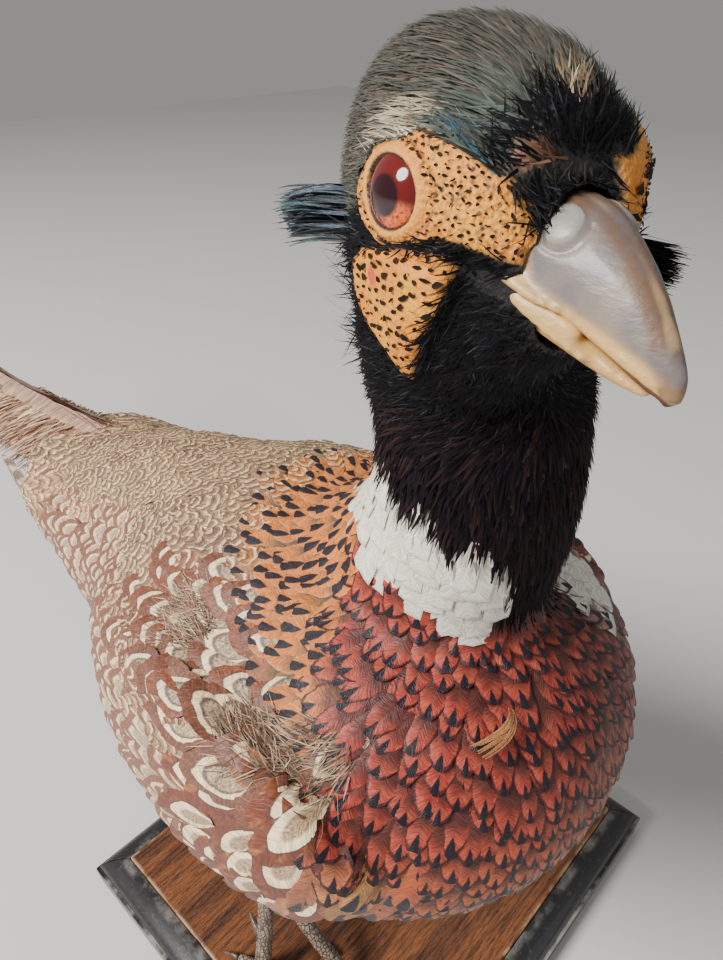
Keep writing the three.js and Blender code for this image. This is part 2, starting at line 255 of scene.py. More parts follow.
black_lacquer, place = new_paint("black_lacquer")
_, _, z = place.parts()
rub = place.noise(55, 5, 0.65)
scuff = place.stretch(30, 30, 90).noise(9, 4, 0.7)
# Grey on the outer edge is wear; the grey along the top is wear and a painted sheen.
wear_and_sheen = z.band(11.2 * MM, 12.6 * MM, 0.5 * MM) + z.rise(19.6 * MM, 20.8 * MM) * 0.6
lacquer = (wear_and_sheen * rub.rise(0.42, 0.66)).mix((0.012, 0.012, 0.014), (0.3, 0.28, 0.26))
lacquer = (scuff.rise(0.55, 0.8) * 0.5).mix(lacquer, (0.16, 0.155, 0.15))
finish(black_lacquer, lacquer, 0.24 + rub * 0.32, scuff, 0.12 * MM, coat_weight=0.3)

RAIL_WIDTH = 14 * MM
RAIL_TOP = 21 * MM
RAIL_EDGE = 12 * MM
RAIL_LEDGE = 2 * MM
RAIL_LIP = 1.5 * MM
MITRE_GAP = 0.15 * MM


def rail_section():
    """The rail's section as (distance in from its outer face, height), anticlockwise."""
    hollow_width = RAIL_WIDTH - RAIL_LEDGE - RAIL_LIP
    hollow_depth = RAIL_TOP - RAIL_EDGE
    hollow = []
    steps = 10
    for i in range(steps + 1):
        angle = math.pi / 2 * i / steps
        sunk = 1 - 0.35 * math.cos(angle) - 0.65 * (1 - i / steps)
        hollow.append((RAIL_WIDTH - RAIL_LEDGE - hollow_width * math.sin(angle),
                       RAIL_TOP - hollow_depth * sunk))
    return [(RAIL_LIP / 2, 0), (RAIL_WIDTH, 0), (RAIL_WIDTH, RAIL_TOP), *hollow, (0, RAIL_EDGE)]


def make_rail(name, length, span, turn):
    bm = bmesh.new()
    corners = [bm.verts.new((-1, inward - span / 2, height)) for inward, height in rail_section()]
    end = bm.faces.new(corners)
    out = bmesh.ops.extrude_face_region(bm, geom=[end])["geom"]
    bmesh.ops.translate(bm, vec=(2, 0, 0), verts=[v for v in out if isinstance(v, bmesh.types.BMVert)])
    for vert in bm.verts:
        vert.co.x *= length / 2 - (vert.co.y + span / 2) - MITRE_GAP
    bmesh.ops.recalc_face_normals(bm, faces=bm.faces)
    soften(bm, 0.35 * MM, 2, 40)
    bmesh.ops.rotate(bm, cent=(0, 0, 0), matrix=Matrix.Rotation(turn, 3, "Z"), verts=bm.verts)
    piece = new_piece(name, mesh_of(name, bm), black_lacquer, "black_lacquer", "base_" + name)
    piece.data.set_sharp_from_angle(angle=math.radians(35))


rails_low, rails_high = (Vector(corner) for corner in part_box("base_rail_front"))
base_across = rails_high.x - rails_low.x + 2 * MITRE_GAP
base_deep = 2 * -rails_low.y
make_rail("rail_front", base_across, base_deep, 0)
make_rail("rail_left", base_deep, base_across, math.pi / 2)
make_rail("rail_back", base_across, base_deep, math.pi)
make_rail("rail_right", base_deep, base_across, -math.pi / 2)


# ---- Skin ----
# The bird's own skin, tanned and drawn over a filled body from the bill to the knees. It is one piece, sunk
# below the tips of the feathers, with bare wrinkled skin and lids round each eye.

FLESH = ["head", "neck", "trunk", "wing_left", "wing_right", "thigh_left", "thigh_right"]
SIDES = (("left", 1), ("right", -1))
VOXEL = 1.5 * MM
SWELL = 0.4 * MM

HEAD_PLACE = np.array((-79, -88, 384)) * MM
HEAD_TURN = Matrix.Rotation(math.radians(-113.2), 3, "Z") @ Matrix.Rotation(math.radians(2.6), 3, "Y")
HEAD_AXES = np.array(HEAD_TURN)
EYE_PLACE = (2.3, 12, 0)
EYE_RADIUS = 7

# The lids' opening, and the edges of the two bare patches on each cheek, as (forwards, up) in millimetres
# from the middle of the head. The folds round the lids are (where, how wide, how high).
OPENING = {"middle": (3.0, 0.7), "reach": (5.9, 4.5)}
FACE_PATCH = ((-6.8, -1), (-5.4, 2.4), (-3.4, 5.4), (1.6, 6.6), (7.4, 9.2), (11, 8.4), (14, 7.1), (18.6, 5),
              (20.4, 2.6), (22.4, -1), (22.2, -3.6), (19.4, -3.2), (15.6, -2.4), (12, -3), (7.4, -4.9),
              (0, -7), (-5, -4.8))
CHEEK_PATCH = ((-8.6, -12), (-4, -8.8), (2.1, -7.4), (9.2, -5.2), (13.7, -4.5), (15.4, -5.8), (14.1, -9),
               (13, -12.5), (10.5, -16.7), (7.8, -21.9), (4.2, -27.5), (2, -27), (-0.5, -24), (-4.6, -22.2),
               (-8.6, -19.5), (-9.2, -15.5))
LID_FOLDS = ((1.16, 0.12, 0.36), (1.42, 0.09, -0.35), (1.62, 0.1, 0.22), (1.84, 0.08, -0.22))
BALL_GAP = 0.15


def easing(value, low, high):
    """0 at low, 1 at high and smooth between them."""
    t = np.clip((value - low) / (high - low), 0, 1)
    return t * t * (3 - 2 * t)


def unit(vectors):
    return vectors / np.maximum(np.linalg.norm(vectors, axis=-1, keepdims=True), 1e-9)


def dot(first, second):
    return (first * second).sum(-1, keepdims=True)


def in_head(points):
    """Millimetres forwards, to the left and up from the middle of the head."""
    return (points - HEAD_PLACE) @ HEAD_AXES / MM


def from_head(places):
    return np.asarray(places) * MM @ HEAD_AXES.T + HEAD_PLACE


def within(outline, x, z):
    """How far inside a closed outline each point is. It is below 0 outside."""
    nearest = np.full(x.shape, 1e9)
    inside = np.zeros(x.shape, bool)
    for (x0, z0), (x1, z1) in zip(outline, outline[1:] + outline[:1]):
        ex, ez = x1 - x0, z1 - z0
        t = np.clip(((x - x0) * ex + (z - z0) * ez) / (ex * ex + ez * ez), 0, 1)
        nearest = np.minimum(nearest, np.hypot(x - x0 - t * ex, z - z0 - t * ez))
        if z0 != z1:
            inside ^= ((z0 > z) != (z1 > z)) & (x < x0 + ex * (z - z0) / ez)
    return np.where(inside, nearest, -nearest)


def bareness(points):
    """How far inside the bare skin of the face each point is, in millimetres."""
    x, y, z = in_head(points).T
    upper = z - 1.5 * (y > 5) * easing(x, 4, 9)
    front = x - 1.2 * (y > 5) * easing(x, 8, 14)
    patches = np.maximum(within(FACE_PATCH, front, upper), within(CHEEK_PATCH, x, z))
    return np.where(np.abs(y) > 5, patches, -9)


def around_eye(points):
    """1 on the edge of the lids, less inside the opening and more outside it."""
    x, y, z = in_head(points).T
    (mx, mz), (rx, rz) = OPENING["middle"], OPENING["reach"]
    return np.where(np.abs(y) > 5, np.hypot((x - mx) / rx, (z - mz) / rz), 9)


def points_of(mesh):
    flat = np.empty(3 * len(mesh.vertices))
    mesh.vertices.foreach_get("co", flat)
    return flat.reshape(-1, 3)


def normals_of(mesh):
    flat = np.empty(3 * len(mesh.vertices), np.float32)
    mesh.vertex_normals.foreach_get("vector", flat)
    return flat.reshape(-1, 3).astype(float)


def move_points(mesh, points):
    mesh.vertices.foreach_set("co", points.ravel())
    mesh.update()


def evened(mesh, share, rounds):
    """Draws each point towards its neighbours' middle, by its share, some rounds over."""
    edges = np.empty(2 * len(mesh.edges), np.int32)
    mesh.edges.foreach_get("vertices", edges)
    first, second = edges.reshape(-1, 2).T
    points = points_of(mesh)
    count = np.bincount(edges, minlength=len(points))[:, None]
    for _ in range(rounds):
        total = np.stack([np.bincount(first, points[second, k], len(points))
                          + np.bincount(second, points[first, k], len(points)) for k in range(3)], 1)
        points += share * (total / count - points)
    move_points(mesh, points)


def fill_hollows(mesh, share, rounds):
    """Fills the hollows of a mesh and leaves what stands out."""
    before, outward = points_of(mesh), normals_of(mesh)
    evened(mesh, share, rounds)
    rise = dot(points_of(mesh) - before, outward)
    move_points(mesh, before + outward * np.maximum(rise, 0))
    evened(mesh, share, 3)


def packed(node):
    """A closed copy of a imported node's mesh."""
    bm = bmesh.new()
    bm.from_mesh(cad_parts[node].data)
    bmesh.ops.remove_doubles(bm, verts=bm.verts, dist=0.01 * MM)
    return bm


def remeshed(name, bm, voxel):
    """A mesh of even squares round closed bodies that may overlap."""
    body = bpy.data.objects.new(name, mesh_of(name + "_rough", bm))
    bpy.context.collection.objects.link(body)
    remesh = body.modifiers.new("remesh", "REMESH")
    remesh.mode = "VOXEL"
    remesh.voxel_size = voxel
    bpy.context.view_layer.update()
    mesh = bpy.data.meshes.new_from_object(body.evaluated_get(bpy.context.evaluated_depsgraph_get()))
    mesh.name = name
    bpy.data.objects.remove(body)
    return mesh


HOCKS = np.array([(-72, -8, 72), (-79.5, -9, 96)]) * MM


def near_hocks(points):
    """1 where the thighs narrow down to the bare shanks, and 0 away from there."""
    away = np.min([np.linalg.norm(points - hock, axis=1) for hock in HOCKS], axis=0)
    return easing(away / MM, 42, 20)


def coat_depth(points):
    """How deep the skin lies under the tips of the coat."""
    x, _, z = in_head(points).T
    on_head = easing(np.hypot(x, z + 6), 36, 30) * easing(z, -40, -30)
    on_neck = easing(points[:, 2], 0.284, 0.31)
    deep = 2.7 + on_neck * (1.7 - 2.7)
    deep = deep + on_head * (2.1 - deep)
    deep = deep + near_hocks(points) * (0.7 - deep)
    bill_root = easing(x, 15, 22) * on_head
    deep = deep + bill_root * (1.2 - deep)
    bare = easing(bareness(points), -2.5, 0.5)
    return (deep + bare * (0.3 - deep)) * MM


flesh = bmesh.new()
for node in FLESH:
    part = packed(node)
    part.normal_update()
    for vert in part.verts:
        vert.co += vert.normal * SWELL
    lump = mesh_of(node + "_copy", part)
    flesh.from_mesh(lump)
for _, side in SIDES:
    x, y, z = EYE_PLACE
    bmesh.ops.create_uvsphere(flesh, u_segments=16, v_segments=12, radius=EYE_RADIUS * MM,
                              matrix=Matrix.Translation(from_head((x, side * y, z))))
skin = remeshed("skin", flesh, VOXEL)
rough = points_of(skin)
on_head = easing(np.linalg.norm(rough - HEAD_PLACE, axis=1), 0.05, 0.036)[:, None]
slender = near_hocks(rough)[:, None]
evened(skin, (0.5 - 0.2 * on_head) * (1 - 0.8 * slender), 14)
body = np.hypot(rough[:, 0] / MM + 55, 20) * (rough[:, 1] > -0.12)
on_flank = easing(rough[:, 2], 0.288, 0.276) * easing(rough[:, 2], 0.185, 0.2) * easing(body, 32, 44)
for _ in range(4):
    fill_hollows(skin, 0.5 * on_flank[:, None], 40)
evened(skin, 0.5 * (1 - on_head) * (1 - slender), 10)
move_points(skin, points_of(skin) - normals_of(skin) * coat_depth(points_of(skin))[:, None])
evened(skin, 0.4 * (1 - on_head) * (1 - 0.7 * slender), 4)

fine = bmesh.new()
fine.from_mesh(skin)
near_eye = bareness(np.array([v.co for v in fine.verts])) > -2
face_edges = [e for e in fine.edges if near_eye[e.verts[0].index] and near_eye[e.verts[1].index]]
bmesh.ops.subdivide_edges(fine, edges=face_edges, cuts=2, use_grid_fill=True, smooth=1)
fine.to_mesh(skin)
fine.free()

local = in_head(points_of(skin))
flip = np.sign(local[:, 1])
eye_rim = around_eye(points_of(skin))
bare = bareness(points_of(skin))
from_axis = np.hypot(local[:, 0] - EYE_PLACE[0], local[:, 2] - EYE_PLACE[2])
ball = EYE_PLACE[1] + np.sqrt(np.maximum(EYE_RADIUS ** 2 - from_axis ** 2, 0))
out = np.abs(local[:, 1])
lid = np.maximum(out, ball + BALL_GAP)
for fold_place, fold_width, fold_height in LID_FOLDS:
    lid += fold_height * np.exp(-((eye_rim - fold_place) / fold_width) ** 2)
near = easing(eye_rim, 2.3, 1.9)
out = np.where(eye_rim < 1, ball + BALL_GAP - 7 * (1 - eye_rim), out + near * (lid - out))
bulge = np.exp(-((local[:, 0] - 10) / 5) ** 2 - ((local[:, 2] - 3) / 5) ** 2)
out += 4.3 * bulge * (flip > 0) * easing(eye_rim, 1.4, 1.9)
fold = np.exp(-((local[:, 2] + 6.4 + 0.05 * local[:, 0]) / 0.9) ** 2) * easing(np.abs(local[:, 0] - 3), 12, 8)
out -= 0.9 * fold * easing(eye_rim, 1.5, 1.8)
local[:, 1] = flip * out
move_points(skin, from_head(local))

WART_GAP = 1.25
WART_HEIGHT = 0.22 * MM
warty = easing(bare, 0, 1.2) * easing(eye_rim, 1.02, 1.15)
warts = np.sin(local * (2 * math.pi / WART_GAP) + 1.7 * np.sin(local[:, [1, 2, 0]] * 1.3)).prod(1)
move_points(skin, points_of(skin) + normals_of(skin) * (warty * warts * WART_HEIGHT)[:, None])


# ---- Lie of the coat ----
# Feathers grow backwards from the bill, down the neck and breast and back along the body. Their roots are
# set close together all over the skin.

skin_tree = BVHTree.FromPolygons([v.co for v in skin.vertices], [p.vertices for p in skin.polygons])


def onto_skin(points):
    """The nearest place on the skin to each point, and the way out from it."""
    found = [skin_tree.find_nearest(point)[:2] for point in points.tolist()]
    return np.array([f[0] for f in found]), np.array([f[1] for f in found])


def lie(points, outward):
    """The way the tip of a feather points at each place on the skin."""
    y, z = points[:, 1:2], points[:, 2:3]
    front = easing(y, -0.05, -0.095)
    body = np.array((0, 1, -0.35)) + front * (np.array((0, 0.35, -1)) - np.array((0, 1, -0.35)))
    on_neck = easing(z, 0.272, 0.3)
    way = body + on_neck * (np.array((0.15, 0.21, -0.97)) - body)
    local = in_head(points)
    over_bill = easing(local[:, :1], 17.5, 19) * easing(local[:, 2:], 0, 2) * easing(local[:, 2:], 7.5, 5.5)
    swept = (np.array((-1, 0, -0.2)) + over_bill * np.array((2, 0, 0.1))) @ HEAD_AXES.T
    on_head = easing(np.linalg.norm(local * (1, 1, 0.8) + (0, 0, 4), axis=1, keepdims=True), 36, 26)
    way = way + on_head * (swept - way)
    return unit(way - outward * dot(way, outward))


skin.calc_loop_triangles()
corners = np.empty(3 * len(skin.loop_triangles), np.int32)
skin.loop_triangles.foreach_get("vertices", corners)
corners = corners.reshape(-1, 3)
skin_points, skin_normals = points_of(skin), normals_of(skin)
skin_areas = np.linalg.norm(np.cross(skin_points[corners[:, 1]] - skin_points[corners[:, 0]],
                                     skin_points[corners[:, 2]] - skin_points[corners[:, 0]]), axis=1) / 2


def scatter(weight, apart, seed, crowd=7):
    """Roots on the skin, kept a distance apart, thinned where the weight of their place is below 1."""
    rng = np.random.default_rng(seed)
    middles = skin_points[corners].mean(1)
    wanted = np.flatnonzero(weight(middles, skin_normals[corners[:, 0]]) > 0.02)
    areas = skin_areas[wanted]
    count = int(crowd * areas.sum() / apart ** 2)
    chosen = wanted[rng.choice(len(wanted), count, p=areas / areas.sum())]
    share = rng.dirichlet((1, 1, 1), count)[:, :, None]
    points = (skin_points[corners[chosen]] * share).sum(1)
    outward = unit((skin_normals[corners[chosen]] * share).sum(1))
    kept = rng.random(count) < weight(points, outward)
    points, outward = points[kept], outward[kept]
    taken, roots = {}, []
    for i, (x, y, z) in enumerate(points.tolist()):
        cell = (int(x // apart), int(y // apart), int(z // apart))
        if all((x - a) ** 2 + (y - b) ** 2 + (z - c) ** 2 >= apart ** 2
               for cx in (-1, 0, 1) for cy in (-1, 0, 1) for cz in (-1, 0, 1)
               for a, b, c in taken.get((cell[0] + cx, cell[1] + cy, cell[2] + cz), ())):
            taken.setdefault(cell, []).append((x, y, z))
            roots.append(i)
    return points[roots], outward[roots], rng

# ---- Markings ----
# Which plumage grows where, and its ground colour. The skin and the feathers both take theirs from here,
# so the coat shows no gaps.

GROUND = {
    "bare": (0.72, 0.37, 0.1),
    "brow": (0.66, 0.56, 0.4),
    "forehead": (0.005, 0.005, 0.007),
    "crown": (0.1, 0.102, 0.085),
    "cheek": (0.004, 0.004, 0.006),
    "ring": (0.78, 0.76, 0.68),
    "neck": (0.004, 0.0025, 0.004),
    "breast": (0.37, 0.045, 0.03),
    "slashed": (0.5, 0.22, 0.07),
    "mantle": (0.62, 0.2, 0.045),
    "scapular": (0.28, 0.11, 0.07),
    "flank": (0.22, 0.06, 0.03),
    "belly": (0.16, 0.07, 0.035),
    "thigh": (0.3, 0.17, 0.09),
    "wing": (0.5, 0.28, 0.16),
    "rump": (0.34, 0.21, 0.12),
}
BROW_PATCH = ((-11, 3.6), (-8.6, 8.4), (-3, 11), (2.7, 11.9), (5.4, 10.6), (1, 7), (-4, 5.8))


def middle_line(y):
    """Where the middle of the back runs, from side to side, in millimetres."""
    return np.interp(y, (-110, 200), (-61, -40))


def sideways(points):
    """Millimetres out from the middle of the back."""
    x, y, _ = points.T / MM
    return np.abs(x - middle_line(y))


def ring_height(points):
    """Millimetres above the lower edge of the white ring, which dips towards the breast."""
    x, y, z = points.T / MM
    return z - 303.3 + 0.33 * x - 0.4 * y


def round_neck(points):
    """The bearing of each point from the middle of the neck, in degrees from the left."""
    x, y, _ = points.T / MM
    return np.degrees(np.arctan2(y + 66, x + 58))


def zones(points, feathered=False):
    """The share of each plumage at each point, which add up to 1. Feathers are never the bare skin."""
    x, y, z = points.T / MM
    fore, _, high = in_head(points).T
    out = sideways(points)
    bearing = round_neck(points)
    height = ring_height(points)
    on_head = easing(high, -41, -34) * (z > 320)
    brow_line = np.interp(fore, (-33, -20, -11, -7.5, -3.4, 1.6, 7.4, 11, 14, 22),
                          (-17, -9, -4, 3.5, 5.4, 6.6, 9.4, 8.6, 7, 5))
    on_top = easing(high - brow_line, -0.8, 0.8)
    ragged = 1.6 * np.sin(bearing * 0.31) + 1.2 * np.sin(bearing * 0.83 + 1)
    gap = easing(bearing, -117, -112) * easing(bearing, -50, -56)
    close = easing(np.hypot(x + 57, y + 64), 64, 58)
    ring = easing(height, -1, 0.5) * easing(height + ragged, 21, 19.5) * (1 - gap) * close
    breast_edge = np.interp(z, (150, 200, 245, 283, 290), (-50, -74, -101, -62, -60))
    breast = easing(y - breast_edge, 2.5, -2.5)
    above_mantle = z - (289.5 + 0.333 * (y + 11))
    mantle = easing(above_mantle, -2.5, 2.5) * easing(y, -3, -9)
    slashed = easing(y - breast_edge, 15, 11) * easing(z, 258, 252)
    scapular = easing(out, 34, 39) * easing(z, 260, 264) * easing(y, 6, -1) * easing(y, -90, -84)
    flank = easing(y, -42, -50) * easing(z, 212, 220) * easing(out, 38, 44)
    wing = easing(out, 26, 34) * easing(z, 262, 254) * easing(z, 199, 205)
    thigh = easing(z, 176, 168)
    belly = easing(z, 205, 196)
    masks = {
        "bare": easing(bareness(points), -0.5, 0.5) * (not feathered),
        "brow": on_head * easing(within(BROW_PATCH, fore, high), -0.8, 0.6),
        "forehead": on_head * on_top * easing(fore + 0.12 * high, 12.4, 15.4),
        "crown": on_head * on_top,
        "cheek": on_head,
        "ring": ring,
        "neck": easing(height, 1, 3) * close,
        "breast": breast,
        "slashed": slashed,
        "mantle": mantle,
        "scapular": scapular,
        "flank": flank,
        "thigh": thigh,
        "belly": belly,
        "wing": wing,
        "rump": np.ones(len(points)),
    }
    left_over = np.ones(len(points))
    shares = {}
    for zone, mask in masks.items():
        shares[zone] = left_over * mask
        left_over = left_over * (1 - mask)
    return shares


def toward(colours, share, shade):
    """Draws colours towards one shade, by a share for each point."""
    return colours + share[:, None] * (np.array(shade) - colours)


def ground(points, feathered=False):
    """The ground colour of the plumage at each point, with painted shade on the breast's left side."""
    x, y, z = points.T / MM
    local = in_head(points)
    fore, _, high = local.T
    shares = zones(points, feathered)
    colours = sum(shares[zone][:, None] * np.array(shade) for zone, shade in GROUND.items())
    # Painted shade: the breast darkens towards the bird's left side, away from the light.
    shadow = shares["breast"] * easing(x, -88, -40) * easing(z, 236, 262)
    rust = shares["breast"] * easing(z, 262, 228)
    teal = shares["crown"] * easing(fore, -4, 5) * easing(fore, 16, 9) * easing(high, 19, 11)
    blue = (shares["crown"] + shares["forehead"]) * easing(np.hypot(fore - 9.4, high - 9.8), 2.3, 0.8)
    buff = easing(np.linalg.norm(local - (13.6, 1.2, 17.2), axis=1), 3.6, 2.2)
    worn = np.sin(x * 0.11 + 1.4 * np.sin(y * 0.06)) * np.sin(y * 0.09 + x * 0.04)
    worn = shares["rump"] * easing(worn, 0.25, 0.7)
    brown = easing(np.linalg.norm(local - (19, -7.8, 8.4), axis=1), 3, 1.8)
    colours = toward(colours, 0.5 * shadow, (0, 0, 0))
    colours = toward(colours, 0.75 * rust, (0.46, 0.125, 0.025))
    colours = toward(colours, 0.6 * teal, (0.1, 0.17, 0.145))
    colours = toward(colours, blue, (0.03, 0.12, 0.18))
    colours = toward(colours, buff, (0.42, 0.31, 0.19))
    colours = toward(colours, 0.7 * worn, (0.22, 0.115, 0.09))
    return toward(colours, brown, (0.2, 0.1, 0.06))


def add_colours(mesh, name, colours):
    layer = mesh.attributes.new(name, "FLOAT_COLOR", "POINT")
    layer.data.foreach_set("color", np.column_stack((colours, np.ones(len(colours)))).ravel())


def add_numbers(mesh, name, numbers):
    mesh.attributes.new(name, "FLOAT", "POINT").data.foreach_set("value", numbers.astype(np.float32))


hide, place = new_paint("skin")
tint = place.node("Attribute", {"attribute_name": "tint"})
bare_depth = place.node("Attribute", {"attribute_name": "bare"}, None, 2)
rim = place.node("Attribute", {"attribute_name": "rim"}, None, 2)
upper = place.node("Attribute", {"attribute_name": "upper"}, None, 2)
worn = place.node("Attribute", {"attribute_name": "worn"}, None, 2)
grain = place.noise(900, 3, 0.6)
patch = place.noise(150, 3)
speck = place.dots(900)
pit = place.dots(1500)
fleece = (place.noise(420, 3).rise(0.3, 0.7) * 0.6).mix(tint, (0.02, 0.016, 0.014))
wattle = patch.rise(0.35, 0.65).mix((0.8, 0.34, 0.03), (0.74, 0.25, 0.022))
wattle = (pit.rise(0.3, 0.0) * 0.6).mix(wattle, (0.86, 0.43, 0.06))
specks = speck.rise(0.42, 0.2) * grain.rise(0.36, 0.5) * rim.rise(1.2, 1.4) * (upper * 0.8 + 0.2)
wattle = (upper * grain.rise(0.46, 0.66) * rim.rise(1.2, 1.5) * 0.65).mix(wattle, (0.2, 0.09, 0.035))
wattle = (specks * 0.9).mix(wattle, (0.045, 0.02, 0.012))
wattle = (worn * 0.85).mix(wattle, (0.55, 0.045, 0.035))
wattle = (rim.band(1.05, 1.2, 0.08) * 0.5).mix(wattle, (0.66, 0.36, 0.12))
# Painted shade: a dark band in the groove round each lid.
wattle = (rim.band(1.4, 1.52, 0.06) * grain.rise(0.35, 0.6) * 0.75).mix(wattle, (0.17, 0.07, 0.025))
# Painted shade: the inner edge of each lid darkens where it tucks in behind the glass eye.
wattle = rim.rise(1.1, 1.02).mix(wattle, (0.03, 0.012, 0.01))
colour = bare_depth.rise(-0.4, 0.5).mix(fleece, wattle)
finish(hide, colour, 0.55, grain + pit * 0.8, 0.25 * MM, specular_ior_level=0.4)

add_colours(skin, "tint", ground(points_of(skin)))
add_numbers(skin, "bare", bareness(points_of(skin)))
add_numbers(skin, "rim", around_eye(points_of(skin)))
fore, left, high = in_head(points_of(skin)).T
add_numbers(skin, "upper", easing(within(FACE_PATCH, fore, high), -0.5, 0.5))
add_numbers(skin, "worn", easing(np.hypot(fore + 0.8, (high + 11.8) * 0.75), 1.7, 0.9) * (left < -5))
new_piece("skin", skin, hide, "plumage_body", *FLESH)


# ---- Feathers ----
# A feather is a thin curved vane, or on the head a narrow lock. It is rooted in the skin, and each row of
# a coat lies over the next.

def grow(roots, outward, rng, *, long, wide, rows=7, columns=4, shape=None, bow=0.5, lift=(0.2, 2.0),
         cup=0.25, swing=0.1, roll=0.12, ragged=0.08, vary=0.1, curl=0.0):
    """The points of one feather for each root, row by row from root to tip. Sizes are in millimetres."""
    count = len(roots)
    along = np.linspace(0, 1, rows + 1) ** 0.8
    across = np.linspace(-1, 1, columns + 1)
    length = long * MM * (1 + vary * rng.standard_normal((count, 1)))
    half = wide * MM * (1 + vary * rng.standard_normal(count))
    heading = lie(roots, outward)
    turn = swing * rng.standard_normal((count, 1))
    heading = heading * np.cos(turn) + np.cross(outward, heading) * np.sin(turn)
    place, up = roots, outward
    spine, ups, headings = [place], [up], [heading]
    for step in np.diff(along):
        place, up = onto_skin(place + heading * length * step)
        heading = unit(heading - up * dot(heading, up))
        spine.append(place)
        ups.append(up)
        headings.append(heading)
    spine, ups, headings = (np.stack(each, 1)[:, :, None, :] for each in (spine, ups, headings))
    sides = np.cross(headings, ups)
    high = lift[0] + (lift[1] - lift[0]) * along ** 1.3
    high = high[None, :] * MM * (1 + 0.18 * rng.standard_normal((count, 1)))
    high = high + curl * length * along ** 2 * np.abs(rng.standard_normal((count, 1)))
    width = half[:, None] * (shape or vane)(along)[None, :]
    tilt = roll * rng.standard_normal((count, 1, 1)) * width[:, :, None] * across
    above = high[:, :, None] - cup * width[:, :, None] * across ** 2 + tilt
    lag = bow * width[:, :, None] * across ** 2 * (along ** 0.5)[None, :, None]
    lag = lag + ragged * half[:, None, None] * rng.standard_normal((count, rows + 1, columns + 1)) * (
        (np.abs(across) == 1)[None, None, :] | (along == 1)[None, :, None])
    points = (spine + ups * above[..., None] + sides * (width[:, :, None] * across)[..., None]
              - headings * lag[..., None])
    return {"points": points, "roots": roots, "along": along, "across": across,
            "chance": rng.random(count)}


def vane(along):
    """A body feather: a narrow root, full sides and a blunt round end."""
    return np.minimum(1, (along / 0.45 + 0.12) ** 0.8) * (1 - 0.45 * easing(along, 0.72, 1.0))


def lock(along):
    """A wisp that narrows to its tip."""
    return 1.05 - 0.95 * along ** 1.5


def square(along):
    """A short feather of the ring: full width almost from the root to a straight end."""
    return np.minimum(1, 0.5 + along * 1.6)


# For each part of the bird, a point inside it, and the way along it and two ways out from it.
AXES = {
    "trunk": (np.array((-55, 0, 220)) * MM, np.array(((0, 1, 0), (0, 0, 1), (1, 0, 0)))),
    "neck": (np.array((-62, -72, 330)) * MM, np.array(((0, 0, 1), (0, -1, 0), (1, 0, 0)))),
    "head": (HEAD_PLACE, HEAD_AXES.T[[0, 2, 1]]),
}


def unrolled(points, axis):
    """The skin unrolled from round an axis: how far along it and how far round it, from 0 to 1."""
    middle, (run, first, second) = AXES[axis]
    local = points - middle
    places = np.column_stack((local @ run, np.arctan2(local @ second, local @ first)))
    return 0.01 + 0.98 * (places - places.min(0)) / np.maximum(np.ptp(places, axis=0), 1e-6)


TUFT_PATCH = 0.003


def coat(name, grown, paint, slot, axis, *nodes):
    """Joins grown feathers into one piece, with a map of each vane and a map for its baked colours."""
    points = grown["points"].clip(cad_box[0], cad_box[1])
    count, rows, columns = points.shape[:3]
    index = np.arange(count * rows * columns).reshape(count, rows, columns)
    quads = np.stack((index[:, :-1, :-1], index[:, :-1, 1:], index[:, 1:, 1:], index[:, 1:, :-1]), -1)
    quads = quads.reshape(-1, 4)
    mesh = bpy.data.meshes.new(name)
    mesh.vertices.add(index.size)
    mesh.vertices.foreach_set("co", points.ravel())
    mesh.loops.add(quads.size)
    mesh.loops.foreach_set("vertex_index", quads.ravel().astype(np.int32))
    mesh.polygons.add(len(quads))
    mesh.polygons.foreach_set("loop_start", np.arange(0, quads.size, 4, dtype=np.int32))
    mesh.update(calc_edges=True)
    on_vane = np.empty((count, rows, columns, 2))
    on_vane[..., 0] = grown["across"] / 2 + 0.5
    on_vane[..., 1] = grown["along"][:, None]
    on_skin = unrolled(grown["roots"], axis)[:, None, None, :] + (on_vane - 0.5) * TUFT_PATCH
    for layer, places in (("Vane", on_vane), ("OFBake", on_skin)):
        uv = mesh.uv_layers.new(name=layer)
        uv.data.foreach_set("uv", places.reshape(-1, 2)[quads.ravel()].ravel())
    each = np.repeat(np.arange(count), rows * columns)
    add_numbers(mesh, "chance", grown["chance"][each])
    add_colours(mesh, "tint", ground(points[:, (rows * 3) // 4, columns // 2], True)[each])
    return new_piece(name, mesh, paint, slot, *nodes)


def on_feather(name):
    """A feather's paint: its ground colour, how far across and along it is, its chance, and its barbs."""
    paint, place = new_paint(name)
    across, along, _ = place.node("UVMap", {"uv_map": "Vane"}).parts()
    across = across * 2 - 1
    chance = place.node("Attribute", {"attribute_name": "chance"}, None, 2)
    tint = place.node("Attribute", {"attribute_name": "tint"})
    slant = along - across.size() * 0.3
    barb = place.node("CombineXYZ", None, {0: slant * 34, 1: across * 1.6, 2: chance * 90}).noise(1, 2, 0.6)
    blotch = place.node("CombineXYZ", None, {0: slant * 4, 1: across * 1.5, 2: chance * 70}).noise(1, 2)
    return paint, tint, across, along, chance, barb, blotch


def shaded(colour, barb, chance, depth=0.5):
    """The colour of a vane with darker and lighter barbs, each vane a little lighter or darker."""
    worth = 1 + (barb.rise(0.38, 0.62) - 0.55) * (0.9 * depth) + (chance - 0.6) * (0.3 * depth)
    return colour.node("HueSaturation", None, {"Value": worth, "Color": colour})


def plumage(*names, side=0, reach=0):
    """A weight for scatter: the share of some plumages where the tips of feathers of a length come to lie,
    on one side of the bird or on both."""
    def weight(points, outward):
        tips = points + lie(points, outward) * reach * 0.72 * MM
        shares = zones(tips)
        half = side * (points[:, 0] / MM - middle_line(points[:, 1] / MM)) >= 0
        fore, left, high = in_head(points).T
        mouth = np.interp(fore, (16, 17.4, 20, 24, 28), (-6, -6.2, -7, -8.6, -10))
        gape = (fore > 17.2) & (np.abs(left) > 5) & (np.abs(high - mouth) < 1.5)
        return sum(shares[name] for name in names) * half * (bareness(points) < 0) * ~gape
    return weight


